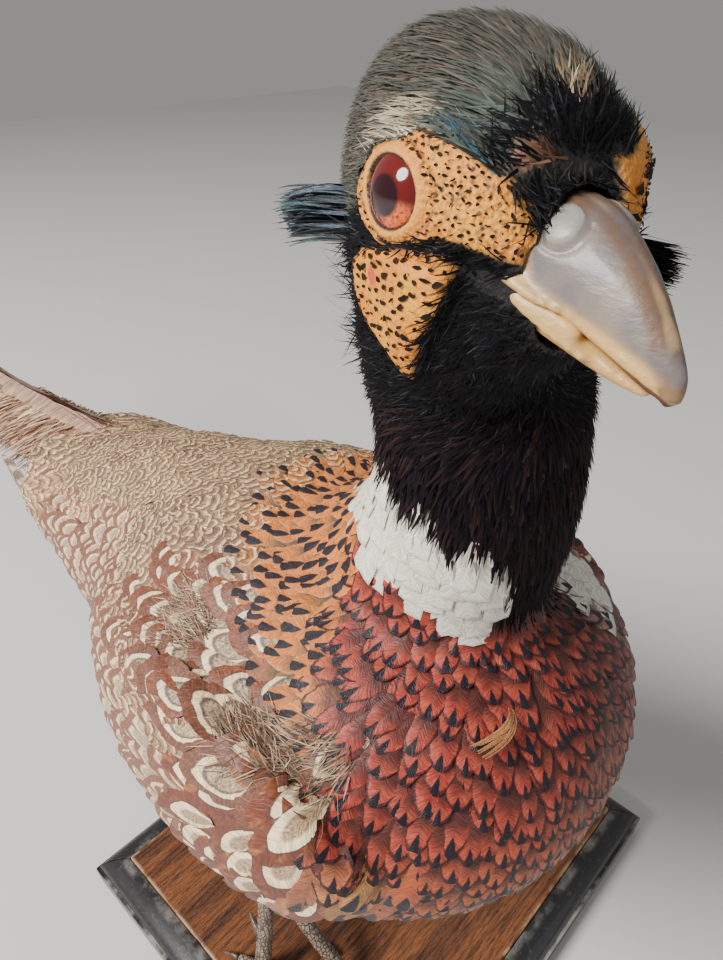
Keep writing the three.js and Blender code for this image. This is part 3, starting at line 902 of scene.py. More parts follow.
def clothe(name, plumages, paint, slot, axis, apart, reach, seed, crowd=7, **cut):
    """Grows one kind of feather where its plumages are, as one piece for each side of the bird."""
    for side_name, side in SIDES:
        weight = plumage(*plumages, side=side, reach=reach)
        roots, outward, rng = scatter(weight, apart * MM, seed + side, crowd)
        coat(name + "_" + side_name, grow(roots, outward, rng, **cut), paint, slot, axis)


# ---- Back and rump ----
# Soft loose olive feathers, each crossed by fine cream lines. They run from between the wings to the tail
# and lie a little ruffled.

soft_back, tint, across, along, chance, barb, blotch = on_feather("rump")
wander = blotch * 0.7 + chance
lines = ((along * 4.6 - across * across * 1.1 + wander) * (2 * math.pi)).wave()
lines = lines.rise(0.35, 0.8) * along.rise(0.35, 0.55) * blotch.rise(0.3, 0.5)
dusky = ((along * 4.6 - across * across * 1.1 + wander + 0.35) * (2 * math.pi)).wave().rise(0.4, 0.9)
colour = (dusky * 0.7).mix(tint, (0.12, 0.075, 0.045))
colour = (lines * 0.9).mix(colour, (0.82, 0.62, 0.36))
finish(soft_back, shaded(colour, barb, chance, 0.8), 0.6, barb, 0.3 * MM, specular_ior_level=0.3)

clothe("rump", ("rump",), soft_back, "plumage_body", "trunk", apart=3.5, reach=14, seed=11,
       long=14, wide=3.5, rows=6, lift=(0.2, 1.4), roll=0.1, cup=0.12, swing=0.16, ragged=0.14, vary=0.14,
       curl=0.015)


def tail_root(points, outward):
    """A weight for scatter: the end of the back, over the root of the tail."""
    y, z = points[:, 1] / MM, points[:, 2] / MM
    return easing(y, 96, 104) * easing(z, 200, 210)


roots, outward, rng = scatter(tail_root, 4.2 * MM, 16)
grown = grow(roots, outward, rng, long=34, wide=4.6, rows=10, lift=(0.5, 2.6), roll=0.1, swing=0.1,
             ragged=0.16, vary=0.16)
coat("tail_coverts", grown, soft_back, "plumage_body", "trunk")

# ---- Mantle ----
# The golden cape over the shoulders, rooted in the skin of the upper back. Each feather has a dark wedge
# at its tip and a bright gold edge.

mantle, tint, across, along, chance, barb, blotch = on_feather("mantle")
wedge = (along - 0.57) * 1.35 - across.size() + (blotch - 0.5) * 0.3
wedge = wedge.rise(-0.04, 0.06)
colour = along.rise(0.7, 0.2).mix(tint, (0.16, 0.1, 0.06))
colour = (across.size().rise(0.72, 0.95) * 0.5).mix(colour, (0.7, 0.33, 0.13))
colour = wedge.mix(colour, (0.022, 0.018, 0.024))
finish(mantle, shaded(colour, barb, chance), 0.55, barb, 0.25 * MM, specular_ior_level=0.25)

clothe("mantle", ("mantle",), mantle, "plumage_body", "trunk", apart=3.7, reach=10, seed=21, crowd=14,
       long=12, wide=3.6, rows=6, lift=(0.2, 1.5), roll=0.08, swing=0.1)

# ---- Breast ----
# Copper feathers with a purple gloss, edged and notched in blue-black. They lie close and flat over the
# whole front of the body.

breast, tint, across, along, chance, barb, blotch = on_feather("breast")
notch = ((along - 0.66) * 1.25 - across.size() + (blotch - 0.5) * 0.25).rise(-0.02, 0.06)
edge = across.size().rise(0.7, 0.86).over(along.rise(0.88, 0.94)) * along.rise(0.35, 0.6)
colour = (blotch.rise(0.35, 0.7) * 0.35).mix(tint, (0.62, 0.16, 0.09))
colour = (along.rise(0.82, 0.45) * 0.85).mix(colour, (0.045, 0.018, 0.016))
colour = (edge * 0.92).mix(colour, (0.03, 0.01, 0.014))
colour = notch.mix(colour, (0.012, 0.008, 0.016))
finish(breast, shaded(colour, barb, chance), 0.48, barb, 0.25 * MM, specular_ior_level=0.35)

clothe("breast", ("breast",), breast, "plumage_body", "trunk", apart=3.6, reach=10, seed=31, crowd=14,
       long=12, wide=3.8, rows=6, lift=(0.2, 1.45), roll=0.05, swing=0.07, bow=0.7)

# ---- Sides of the belly ----
# Golden feathers with a broad black slash across each tip. They grow in a strip behind the breast, down
# to the legs.

slashed, tint, across, along, chance, barb, blotch = on_feather("slashed")
slash = ((along - 0.7) * 1.8 - across.size() * 0.8).rise(-0.03, 0.06)
colour = across.size().rise(0.6, 0.95).mix(tint, (0.36, 0.1, 0.04))
colour = slash.mix(colour, (0.014, 0.013, 0.02))
finish(slashed, shaded(colour, barb, chance), 0.45, barb, 0.25 * MM)

clothe("slashed", ("slashed",), slashed, "plumage_body", "trunk", apart=5.5, reach=16, seed=41,
       long=17, wide=4.8, lift=(0.2, 1.7), roll=0.15, swing=0.12)

# ---- Shoulders ----
# Large scapular feathers. Each has a speckled tan middle ringed by dark grey and cream, and a mauve edge.
# They hang over the root of the wing.

def rings(across, along, blotch, start, uneven):
    """How far each place is from the middle of a feather's rounded end. It is 1 at the edge."""
    tip = (along - start).over(0) / (1 - start)
    return (across * across + tip * tip) ** 0.5 + (blotch - 0.5) * uneven


def speckles(across, along, chance, close=9):
    """Fine mottling along a feather, which differs from one feather to the next."""
    spot = across.node("CombineXYZ", None, {0: along * close, 1: across * 4, 2: chance * 50})
    return spot.noise(3, 3, 0.7)


scapular, _, across, along, chance, barb, blotch = on_feather("scapular")
ring = rings(across, along, blotch, 0.3, 0.16)
speckle = speckles(across, along, chance)
colour = (speckle.rise(0.45, 0.6) * 0.8).mix((0.5, 0.36, 0.22), (0.12, 0.085, 0.06))
colour = (ring.rise(0.42, 0.48) * 0.8).mix(colour, (0.09, 0.065, 0.055))
colour = ring.rise(0.52, 0.58).mix(colour, (0.92, 0.72, 0.42))
colour = ring.rise(0.7, 0.74).mix(colour, (0.12, 0.06, 0.045))
fringe = (speckle.rise(0.5, 0.66) * 0.5).mix((0.2, 0.055, 0.028), (0.5, 0.27, 0.13))
fringe = (chance.rise(0.3, 0.7) * 0.5).mix(fringe, (0.1, 0.045, 0.032))
colour = ring.rise(0.75, 0.8).mix(colour, fringe)
finish(scapular, shaded(colour, barb, chance), 0.5, barb, 0.25 * MM)

clothe("scapular", ("scapular",), scapular, "plumage_wing", "trunk", apart=5.8, reach=19, seed=51,
       long=20, wide=6.2, rows=8, lift=(0.3, 1.9), roll=0.1, swing=0.12)

# ---- Flanks ----
# Long cream feathers outlined in black, with a chestnut edge. They are rooted in the skin of the side and
# fall over the front of the wing.

flank, _, across, along, chance, barb, blotch = on_feather("flank")
ring = rings(across, along, blotch, 0.35, 0.12)
speckle = speckles(across, along, chance)
middle = (speckle.rise(0.45, 0.6) * 0.7).mix((0.5, 0.34, 0.2), (0.15, 0.08, 0.05))
colour = ring.rise(0.28, 0.4).mix(middle, (0.94, 0.75, 0.46))
colour = ring.rise(0.6, 0.63).mix(colour, (0.09, 0.04, 0.03))
fringe = (blotch.rise(0.5, 0.75) * 0.6).mix((0.15, 0.032, 0.014), (0.46, 0.17, 0.055))
colour = ring.rise(0.65, 0.7).mix(colour, fringe)
finish(flank, shaded(colour, barb, chance), 0.5, barb, 0.25 * MM)

clothe("flank", ("flank",), flank, "plumage_wing", "trunk", apart=6.8, reach=23, seed=61,
       long=24, wide=6.6, rows=8, lift=(0.3, 1.9), roll=0.1, swing=0.12)

# ---- Wing coverts ----
# Shorter mottled feathers, tan and grey with a worn brown edge. They cover the folded wing, which lies
# against the body.

covert, _, across, along, chance, barb, blotch = on_feather("covert")
ring = rings(across, along, blotch, 0.3, 0.2)
speckle = speckles(across, along, chance, 8)
colour = (speckle.rise(0.44, 0.6) * 0.75).mix((0.6, 0.43, 0.28), (0.2, 0.13, 0.09))
colour = ring.rise(0.56, 0.62).mix(colour, (0.82, 0.6, 0.36))
colour = ring.rise(0.72, 0.8).mix(colour, (0.22, 0.09, 0.052))
finish(covert, shaded(colour, barb, chance), 0.5, barb, 0.25 * MM)

clothe("coverts", ("wing",), covert, "plumage_wing", "trunk", apart=5, reach=16, seed=71,
       long=16, wide=5, lift=(0.2, 1.6), roll=0.1, swing=0.1)

# ---- Ruffled patches ----
# Old loose fluff, grey-brown and cream, that stands out of the shoulder and of the fold between the breast
# and the wing. There are a few bare-looking partings in the rump too.

fluff, _, _, along, chance, _, _ = on_feather("fluff")
colour = chance.rise(0.3, 0.85).mix((0.16, 0.1, 0.07), (0.66, 0.48, 0.32))
colour = (along.rise(0.75, 0.2) * 0.6).mix(colour, (0.1, 0.06, 0.045))
finish(fluff, colour, 0.8, specular_ior_level=0.2)

# Each ruffle runs from one place to another and has a reach.
RUFFLES = (((-103, -26, 273), (-103, -26, 273), 9),
           ((-115, -64, 272), (-108, -78, 271), 7),
           ((-62, 92, 262), (-74, 88, 255), 5),
           ((-80, 62, 268), (-88, 50, 264), 4))


def ruffled(points, outward):
    """A weight for scatter: close to one of the ruffles."""
    weight = np.zeros(len(points))
    for first, last, reach in RUFFLES:
        first, last = np.array(first) * MM, np.array(last) * MM
        span = last - first
        t = np.clip((points - first) @ span / max(span @ span, 1e-9), 0, 1)[:, None]
        away = np.linalg.norm(points - first - t * span, axis=1) / MM
        weight = np.maximum(weight, easing(away, reach * 1.15, reach * 0.6))
    return weight


roots, outward, rng = scatter(ruffled, 0.62 * MM, 96)
grown = grow(roots, outward, rng, long=7, wide=0.16, rows=5, columns=2, shape=lock, lift=(0.9, 2.4),
             swing=0.5, roll=0.3, vary=0.3, curl=0.06)
coat("ruffles", grown, fluff, "plumage_body", "trunk")

# ---- Belly and thighs ----
# Dull brown-black down under the body, and short buff feathers on the legs that end over the tops of the
# bare shanks.

down, tint, _, _, chance, barb, blotch = on_feather("down")
colour = (blotch.rise(0.4, 0.7) * 0.6).mix(tint, (0.05, 0.03, 0.022))
finish(down, shaded(colour, barb, chance), 0.7, barb, 0.3 * MM)

clothe("belly", ("belly",), down, "plumage_body", "trunk", apart=6, reach=14, seed=81,
       long=17, wide=4.6, lift=(0.2, 1.9), roll=0.2, swing=0.15, ragged=0.15)
clothe("thigh_feathers", ("thigh",), down, "plumage_body", "trunk", apart=3.4, reach=5, seed=91,
       long=12, wide=2.6, rows=4, lift=(0.2, 2.2), swing=0.2, ragged=0.2)

# ---- Neck and ring ----
# Narrow glossy black feathers with a brown bloom and a painted purple sheen, and below them the white ring
# of short square-ended feathers, open at the throat, with painted grey shade along their edges.

neck, tint, _, _, chance, barb, blotch = on_feather("neck")
bloom_and_sheen = (chance.rise(0.6, 0.95) * 0.5).mix(tint, (0.05, 0.022, 0.016))
# Painted sheen: purple blotches stand in for the gloss on the black feathers.
bloom_and_sheen = (blotch.rise(0.5, 0.75) * 0.5).mix(bloom_and_sheen, (0.03, 0.012, 0.045))
finish(neck, shaded(bloom_and_sheen, barb, chance, 0.6), 0.7, barb, 0.1 * MM, specular_ior_level=0.12)
clothe("neck", ("neck",), neck, "plumage_neck", "neck", apart=1.05, reach=6, seed=101,
       long=6.5, wide=0.46, rows=4, columns=2, shape=lock, lift=(0.1, 1.15), swing=0.12, roll=0.15, vary=0.18)

white, _, across, along, chance, barb, blotch = on_feather("ring")
# Painted shade: a grey line along the end and the sides of each ring feather.
edge = along.rise(0.93, 0.98).over(across.size().rise(0.88, 0.96))
colour = blotch.rise(0.35, 0.7).mix((0.8, 0.78, 0.7), (0.74, 0.7, 0.58))
colour = (edge * 0.35).mix(colour, (0.25, 0.22, 0.18))
finish(white, shaded(colour, barb, chance, 0.45), 0.6, barb, 0.12 * MM)
clothe("ring", ("ring",), white, "plumage_neck", "neck", apart=4.2, reach=10, seed=111, crowd=14,
       long=13, wide=3.1, rows=6, shape=square, bow=0.1, lift=(0.2, 1.15), roll=0.04, swing=0.05, cup=0.12)

# ---- Head ----
# The crown and nape carry fine olive hair-like feathers swept back. The forehead, chin and cheeks are short
# black velvet with painted grey glints at the tips of a few hairs, and a cream brow runs over the bare skin.

velvet, tint, _, along, chance, _, _ = on_feather("velvet")
# Painted glints: the tips of a few hairs turn grey.
colour = (chance.rise(0.82, 0.97) * along.rise(0.4, 0.9) * 0.4).mix(tint, (0.1, 0.1, 0.11))
finish(velvet, colour, 0.7, specular_ior_level=0.15)
clothe("velvet", ("forehead", "cheek"), velvet, "plumage_head", "head", apart=0.54, reach=2, seed=121,
       long=3.4, wide=0.145, rows=3, columns=2, shape=lock, lift=(0.1, 1.2), swing=0.4, roll=0.4, vary=0.25,
       curl=0.1)

hair, tint, _, _, chance, barb, _ = on_feather("crown")
colour = (chance.rise(0.72, 0.97) * 0.4).mix(tint, (0.3, 0.21, 0.13))
colour = (chance.band(0.5, 0.62, 0.04) * 0.5).mix(colour, (0.12, 0.05, 0.035))
colour = (chance.rise(0.35, 0.1) * 0.7).mix(colour, (0.05, 0.045, 0.04))
finish(hair, shaded(colour, barb, chance, 0.5), 0.55, barb, 0.15 * MM)
clothe("crown", ("crown", "brow"), hair, "plumage_head", "head", apart=0.6, reach=5, seed=131,
       long=8.5, wide=0.19, rows=4, columns=2, shape=lock, lift=(0.1, 0.95), swing=0.12, roll=0.3, vary=0.2,
       curl=0.015)

# ---- Eyes ----
# Glass eyes, red-brown round a black pupil, with a painted orange glow of light low in the iris. They are
# bedded in the sockets of the filled head, under the lids.

# The ways that the pupil and the painted glow of light in the iris face, forwards, outwards and up.
PUPIL_FACES = (0.22, 0.97, 0.08)
GLOW_FACES = (0.75, 0.97, -0.55)

for name, side in SIDES:
    glass, place = new_paint("eye_glass_" + name)
    axis = np.array(PUPIL_FACES) * (1, side, 1) @ HEAD_AXES.T
    below = np.array(GLOW_FACES) * (1, side, 1) @ HEAD_AXES.T
    middle = from_head(np.array(EYE_PLACE) * (1, side, 1))
    ray = place.node("VectorMath", {"operation": "SUBTRACT"}, {0: place, 1: tuple(middle)})
    ray = ray.node("VectorMath", {"operation": "NORMALIZE"}, {0: ray})
    facing = ray.node("VectorMath", {"operation": "DOT_PRODUCT"}, {0: ray, 1: tuple(unit(axis))}, 1)
    lower = ray.node("VectorMath", {"operation": "DOT_PRODUCT"}, {0: ray, 1: tuple(unit(below))}, 1)
    fleck = place.noise(2200, 3)
    # Painted light: a flecked orange glow low on the front of the iris.
    iris = (lower.rise(0.86, 0.97) * fleck.rise(0.25, 0.6)).mix((0.12, 0.012, 0.011), (0.85, 0.16, 0.02))
    iris = facing.rise(0.75, 0.6).mix(iris, (0.09, 0.02, 0.015))
    colour = facing.rise(0.905, 0.94).mix(iris, (0.022, 0.006, 0.008))
    finish(glass, colour, 0.1, coat_weight=0.25, coat_roughness=0.03, specular_ior_level=0.3)
    ball = bmesh.new()
    bmesh.ops.create_uvsphere(ball, u_segments=48, v_segments=32, radius=EYE_RADIUS * MM,
                              matrix=Matrix.Translation(middle))
    new_piece("glass_eye_" + name, mesh_of("glass_eye_" + name, ball), glass, "eye_glass", "eye_" + name)

# ---- Bill ----
# Horn sheaths over both jaws. The upper one is hooked over the lower, with a pale flap over each nostril,
# and its horn is yellow at the edges and grey and polished on the sides. Painted shade darkens the line
# between the jaws towards the tip.

horn, place = new_paint("bill_horn")
edge = place.node("Attribute", {"attribute_name": "edge"}, None, 2)
ridge = place.node("Attribute", {"attribute_name": "ridge"}, None, 2)
flap = place.node("Attribute", {"attribute_name": "flap"}, None, 2)
root = place.node("Attribute", {"attribute_name": "root"}, None, 2)
mouth = place.node("Attribute", {"attribute_name": "mouth"}, None, 2)
cloud = place.noise(160, 3)
line = place.stretch(1, 1, 2.2).noise(620, 3, 0.6)
colour = cloud.rise(0.35, 0.65).mix((0.15, 0.135, 0.14), (0.25, 0.2, 0.165))
colour = root.mix(colour, (0.62, 0.36, 0.17))
colour = edge.rise(3.6, 1.4).mix(colour, (0.6, 0.36, 0.12))
colour = (ridge.rise(4.4, 2.4) * cloud.rise(0.25, 0.55) * 0.85).mix(colour, (0.13, 0.065, 0.035))
colour = (ridge.rise(1.3, 0.5) * 0.7).mix(colour, (0.5, 0.33, 0.17))
colour = flap.rise(0.35, 0.8).mix(colour, (0.27, 0.26, 0.235))
colour = (line.rise(0.5, 0.75) * 0.3).mix(colour, (0.16, 0.11, 0.07))
# Painted shade: the horn darkens along the line between the jaws, towards the tip.
colour = (mouth.rise(0.3, 0.9) * 0.9).mix(colour, (0.07, 0.03, 0.016))
finish(horn, colour, 0.34 + line * 0.2, line, 0.12 * MM, coat_weight=0.15, coat_roughness=0.2)

# The cutting edge and the ridge of the upper jaw, as places forwards and the height of the line at each.
EDGE_LINE = ((14, 17.4, 25.9, 33.5, 38.7, 40.9, 43), (-5.2, -5.7, -8.9, -11, -12.7, -13.9, -15))
RIDGE_LINE = ((21.9, 28.3, 33.5, 37.9, 40.8, 42.2), (4.3, 2.9, -0.5, -4.6, -9.3, -14.6))


def chain(*stations):
    """Round bodies close together along a line of (forwards, out, up, radius)."""
    stations = np.array(stations)
    steps = np.linspace(0, len(stations) - 1, 14)
    rows = np.column_stack([np.interp(steps, range(len(stations)), column) for column in stations.T])
    return [(tuple(row[:3]), row[3]) for row in rows]


# The lips of the gape run back from the horn of each jaw to the corner of the mouth.
GAPE = {"bill_upper": chain((13.9, 10.7, -5.0, 0.8), (16.4, 10.0, -5.2, 1.0), (19, 9.3, -5.5, 1.2),
                            (21.5, 8.6, -5.9, 1.2), (25, 7.5, -7.0, 0.9), (29, 6.0, -8.0, 0.5)),
        "bill_lower": chain((14.4, 10.2, -5.8, 0.7), (16.8, 9.6, -6.4, 0.9), (19.5, 8.8, -7.2, 1.0),
                            (23, 7.9, -8.8, 1.1), (27, 6.3, -10.8, 1.0), (31, 4.5, -12.6, 0.8))
        + chain((19, 7.8, -6.7, 1.0), (24, 6.2, -8.4, 1.5), (29, 4.6, -10.4, 1.3))}
for node in ("bill_upper", "bill_lower"):
    sheath = packed(node)
    for _, side in SIDES:
        for place, radius in GAPE[node]:
            middle = from_head((place[0], side * place[1], place[2]))
            bmesh.ops.create_uvsphere(sheath, u_segments=12, v_segments=8, radius=radius * MM,
                                      matrix=Matrix.Translation(middle))
    sheath = remeshed(node + "_horn", sheath, 0.45 * MM)
    evened(sheath, 0.5, 8)
    points, normals = points_of(sheath), normals_of(sheath)
    fore, left, high = in_head(points).T
    upper = node == "bill_upper"
    from_edge = np.abs(high - np.interp(fore, *EDGE_LINE))
    from_ridge = np.hypot(high - np.interp(fore, *RIDGE_LINE), left)
    flap = 1 - np.hypot((fore - 23.6) / 2.9, (high - 0.9 + 0.25 * (fore - 23.6)) / 2.2)
    flap = flap * (np.abs(left) > 2.5) * upper
    raised = 0.42 * easing(flap, 0, 0.45) - 0.3 * np.exp(-((flap + 0.13) / 0.13) ** 2) * (flap != 0)
    lip = 0.28 * easing(from_edge, 1.9, 1.1) - 0.3 * np.exp(-((from_edge - 2.3) / 0.6) ** 2)
    raised = raised + lip * easing(fore, 19, 24) * upper * easing(fore, 41, 39)
    raised = raised * (np.abs(left) > 0.8)
    move_points(sheath, points + normals * (raised * MM)[:, None])
    add_numbers(sheath, "edge", from_edge if upper else np.full(len(points), 1.0))
    add_numbers(sheath, "ridge", from_ridge if upper else np.full(len(points), 9.0))
    add_numbers(sheath, "flap", easing(flap, 0, 0.4))
    # The mouth number marks the painted shade along the line between the jaws.
    add_numbers(sheath, "mouth", easing(from_edge, 1.5 - 0.6 * upper, 0.4) * easing(fore, 29, 33))
    add_numbers(sheath, "root", easing(fore + 0.5 * high, 21.5, 19))
    new_piece(node + "_horn", sheath, horn, "bill_horn", node)

# ---- Ear tufts and whiskers ----
# Two blue-black tufts stand out behind the eyes. The left one has been bent forwards. Loose hairs hang
# behind the cheeks.

def blades(starts, ends, bend, wide, rng, rows=6):
    """Narrow blades from one set of points to another, drawn aside by a bend, in the form grow returns."""
    count = len(starts)
    along = np.linspace(0, 1, rows + 1)
    across = np.linspace(-1, 1, 3)
    t = along[None, :, None]
    middle = ((starts + ends) / 2 + bend)[:, None]
    spine = (1 - t) ** 2 * starts[:, None] + 2 * t * (1 - t) * middle + t * t * ends[:, None]
    heading = unit(np.gradient(spine, axis=1))
    sides = unit(np.cross(heading, unit(rng.standard_normal((count, 1, 3)))))
    half = wide * MM * (0.7 + 0.6 * rng.random((count, 1, 1, 1))) * lock(along)[None, :, None, None]
    points = spine[:, :, None] + sides[:, :, None] * half * across[None, None, :, None]
    return {"points": points, "roots": starts, "along": along, "across": across,
            "chance": rng.random(count)}


tufted, _, _, along, chance, barb, _ = on_feather("ear_tuft")
colour = (chance.rise(0.5, 0.8) * 0.8).mix((0.009, 0.01, 0.018), (0.015, 0.05, 0.1))
colour = (chance.rise(0.3, 0.1) * along.rise(0.3, 0.8) * 0.8).mix(colour, (0.02, 0.12, 0.13))
finish(tufted, colour, 0.32, barb, 0.1 * MM, specular_ior_level=0.8)

# Each tuft runs from a root to a tip, drawn aside by a bend, and its brush is how far its tips spread.
TUFTS = (("right", "ear_tuft_right", tufted, (-15.5, -13, -7.5), (-23.6, -21.8, -8.8), (-1, 0, 0.8),
          (1.2, 0.8, 1.7)),
         ("left", "ear_tuft_left", velvet, (-9, 11.8, -12), (7.5, 31.4, -14.2), (-5, 4, -1),
          (1.2, 0.8, 1.6)),
         ("left_low", "ear_tuft_left", velvet, (-9, 11.2, -16), (6.5, 29.4, -21.8), (-5, 3, 0),
          (1.8, 0.9, 3.0)))
TUFT_BLADES = 500
for name, node, paint, start, end, bend, brush in TUFTS:
    rng = np.random.default_rng(141)
    spot = rng.standard_normal((TUFT_BLADES, 3)).clip(-1.8, 1.8)
    starts = np.array(start) + spot * (1.7, 0.8, 1.9)
    ends = np.array(end) + spot * brush + rng.standard_normal((TUFT_BLADES, 3)) * (0.6, 0.9, 0.6)
    bends = (np.array(bend) + rng.standard_normal((TUFT_BLADES, 3)) * 0.8) @ HEAD_AXES.T * MM
    grown = blades(from_head(starts), from_head(ends), bends, 0.5, rng)
    coat("tuft_" + name, grown, paint, "plumage_head", "head", node)


def behind_cheek(side):
    """A weight for scatter: behind the bare skin of one cheek."""
    def weight(points, outward):
        fore, left, high = in_head(points).T
        place = easing(fore, -17, -12) * easing(fore, -4, -7) * easing(high, -31, -26) * easing(high, -6, -9)
        return place * (left * side > 5) * (bareness(points) < 0)
    return weight


for name, side in SIDES:
    roots, outward, rng = scatter(behind_cheek(side), 1.3 * MM, 151 + side)
    grown = grow(roots, outward, rng, long=9, wide=0.15, rows=5, columns=2, shape=lock, lift=(0.1, 3.2),
                 swing=0.4, vary=0.3, curl=0.1)
    coat("whiskers_" + name, grown, velvet, "plumage_head", "head")

# ---- Stubs on the bare skin ----
# Tiny black stubs of feathers stand out of the bare skin in rows, thickest over the upper face. In front
# of the left eye they are longer.

stub, _, _, _, chance, _, _ = on_feather("stub")
finish(stub, (chance * 0.7).mix((0.008, 0.006, 0.006), (0.04, 0.02, 0.014)), 0.8, specular_ior_level=0.15)


def dotted(outline, gap):
    """A weight for scatter: inside one patch of bare skin, off the lids and off the worn spot."""
    def weight(points, outward):
        fore, left, high = in_head(points).T
        inside = (within(outline, fore, high) > gap) & (np.abs(left) > 5) & (around_eye(points) > 1.38)
        return inside * (np.hypot(fore + 0.8, high + 11.8) > 1.8)
    return weight


def bead(along):
    """A short stub, rounded at both ends."""
    return 0.25 + 0.75 * np.sin(np.pi * np.clip(along, 0, 1)) ** 0.7


def front_of_left_face(points, outward):
    """A weight for scatter: the front of the left face, where the stubs are longer."""
    fore, left, high = in_head(points).T
    return (left > 5) * (fore > 8) * (high < 4.5) * (within(FACE_PATCH, fore, high) > 0.4)


for name, weight, apart, long, wide in (("stubs", dotted(CHEEK_PATCH, 0.1), 1.6, 1.15, 0.38),
                                        ("specks", dotted(FACE_PATCH, 0.1), 0.9, 0.6, 0.17),
                                        ("bars", front_of_left_face, 1.9, 4.6, 0.5)):
    roots, outward, rng = scatter(weight, apart * MM, 161, crowd=20)
    grown = grow(roots, outward, rng, long=long, wide=wide, rows=4, columns=2, shape=bead, lift=(0.08, 0.3),
                 bow=0, cup=-0.3, swing=0.4, vary=0.3)
    coat(name, grown, stub, "plumage_head", "head")

# ---- Tail ----
# Nine pairs of long stiff feathers, laid in steps like a roof. They are buff with black bars, and their
# edges fray into mauve.

def spread(spine, up, half, rng, columns=8, cup=0.12, ragged=0.03, shaft=0.35):
    """Flat vanes along given spines, with a raised shaft, in the form grow returns."""
    count, rows = spine.shape[:2]
    along = np.linspace(0, 1, rows)
    across = np.linspace(-1, 1, columns + 1)
    heading = unit(np.gradient(spine, axis=1))
    sides = unit(np.cross(heading, up))
    reach = half[..., None] * across
    above = -cup * half[..., None] * across ** 2 + shaft * MM * (across == 0)
    above = above + 0.05 * half[..., None] * np.sin(across * 5 + along[:, None] * 40)
    frayed = ragged * rng.standard_normal(reach.shape) * (np.abs(across) == 1)
    lag = half[..., None] * (0.9 * np.abs(across) ** 1.5 + frayed)
    points = (spine[:, :, None] + sides[:, :, None] * reach[..., None] + up[:, :, None] * above[..., None]
              - heading[:, :, None] * lag[..., None])
    return {"points": points, "roots": spine[:, 0], "along": along, "across": across,
            "chance": rng.random(count)}


def strips(piece, count):
    """Gives each long vane of a piece a strip of its own on the map for baked colours."""
    mesh = piece.data
    each = len(mesh.loops) // count
    vane_map = np.empty(2 * len(mesh.loops))
    mesh.uv_layers["Vane"].data.foreach_get("uv", vane_map)
    vane_map = vane_map.reshape(-1, 2)
    strip = np.repeat(np.arange(count), each)
    vane_map[:, 0] = (strip + 0.05 + 0.9 * vane_map[:, 0]) / count
    mesh.uv_layers["OFBake"].data.foreach_set("uv", vane_map.ravel())


barred, place = new_paint("tail")
_, y, _ = place.parts()
across = place.node("UVMap", {"uv_map": "Vane"}).parts()[0] * 2 - 1
chance = place.node("Attribute", {"attribute_name": "chance"}, None, 2)
barb = place.node("CombineXYZ", None, {0: y * 1000 + across.size() * 9, 1: across, 2: chance * 90})
barb = barb.noise(1, 3)
blotch = place.noise(90, 3, 0.6)
bar = ((y * 62 + chance * 0.5 + across.size() * 0.14 + (blotch - 0.5) * 0.25) * (2 * math.pi)).wave()
bar = bar.rise(0.5, 0.8) * across.size().rise(0.62, 0.5) * y.rise(0.15, 0.25)
colour = blotch.rise(0.35, 0.65).mix((0.46, 0.29, 0.17), (0.56, 0.37, 0.23))
colour = across.size().rise(0.45, 0.75).mix(colour, (0.42, 0.25, 0.19))
colour = (bar * 0.85).mix(colour, (0.06, 0.035, 0.025))
colour = across.size().rise(0.06, 0.02).mix(colour, (0.3, 0.19, 0.1))
finish(barred, shaded(colour, barb, chance, 0.7), 0.5, barb, 0.25 * MM)

# The vanes slope down on both sides of a ridge. Each group of pairs has its first and its last pair.
SLOPE = math.radians(50)
RIDGE_X = -43.4
TAIL_ROOT = 108
TAIL_TIPS = (559, 500, 440, 390, 345, 310, 280, 250, 225)
TAIL_GROUPS = (("centre", 0, 2), ("side", 2, 5), ("outer", 5, 9))
TAIL_ROWS = 64


def tail_ridge(y):
    """The height of the tail's ridge, in millimetres."""
    return 239 + np.where(y < 300, 0.00047, 0.00014) * (y - 300) ** 2


for name, side in SIDES:
    down_roof = np.array((side * math.cos(SLOPE), 0, -math.sin(SLOPE)))
    off_roof = np.array((side * math.sin(SLOPE), 0, math.cos(SLOPE)))
    for group, first, last in TAIL_GROUPS:
        rng = np.random.default_rng(171 + side + 10 * first)
        spines, halves = [], []
        for i in range(first, last):
            t = np.linspace(0, 1, TAIL_ROWS)
            y = TAIL_ROOT + (TAIL_TIPS[i] - TAIL_ROOT - 1) * t
            half = (12.5 - 0.35 * i) * np.minimum(1, 0.45 + t * 3) * (1 - 0.62 * t ** 1.5)
            half = half * np.sqrt(np.clip((1 - t) / 0.035 + 0.08, 0, 1))
            down = 14.5 + i * 1.5 * easing(t, 0, 0.4) + 1.2 * np.sin(t * 9 + i)
            down = down * (1 - 0.45 * t) + 1.5 * (i > 0) * t
            sunk = 0.4 + 1.15 * i + 0.3 * np.sin(t * 7 + 2 * i)
            ridge = np.column_stack((np.full(TAIL_ROWS, RIDGE_X + side * 0.6), y, tail_ridge(y)))
            spines.append((ridge + down[:, None] * down_roof - sunk[:, None] * off_roof) * MM)
            halves.append(half * MM)
        spine = np.array(spines)
        up = np.broadcast_to(off_roof, spine.shape)
        grown = spread(spine, up, np.array(halves), rng)
        piece = coat("tail_%s_feathers_%s" % (group, name), grown, barred, "plumage_tail", "trunk",
                     "tail_%s_%s" % (group, name))
        strips(piece, last - first)

fringe, _, _, _, chance, barb, _ = on_feather("fringe")
colour = chance.rise(0.2, 0.8).mix((0.34, 0.19, 0.14), (0.72, 0.53, 0.36))
finish(fringe, shaded(colour, barb, chance), 0.7, specular_ior_level=0.2)

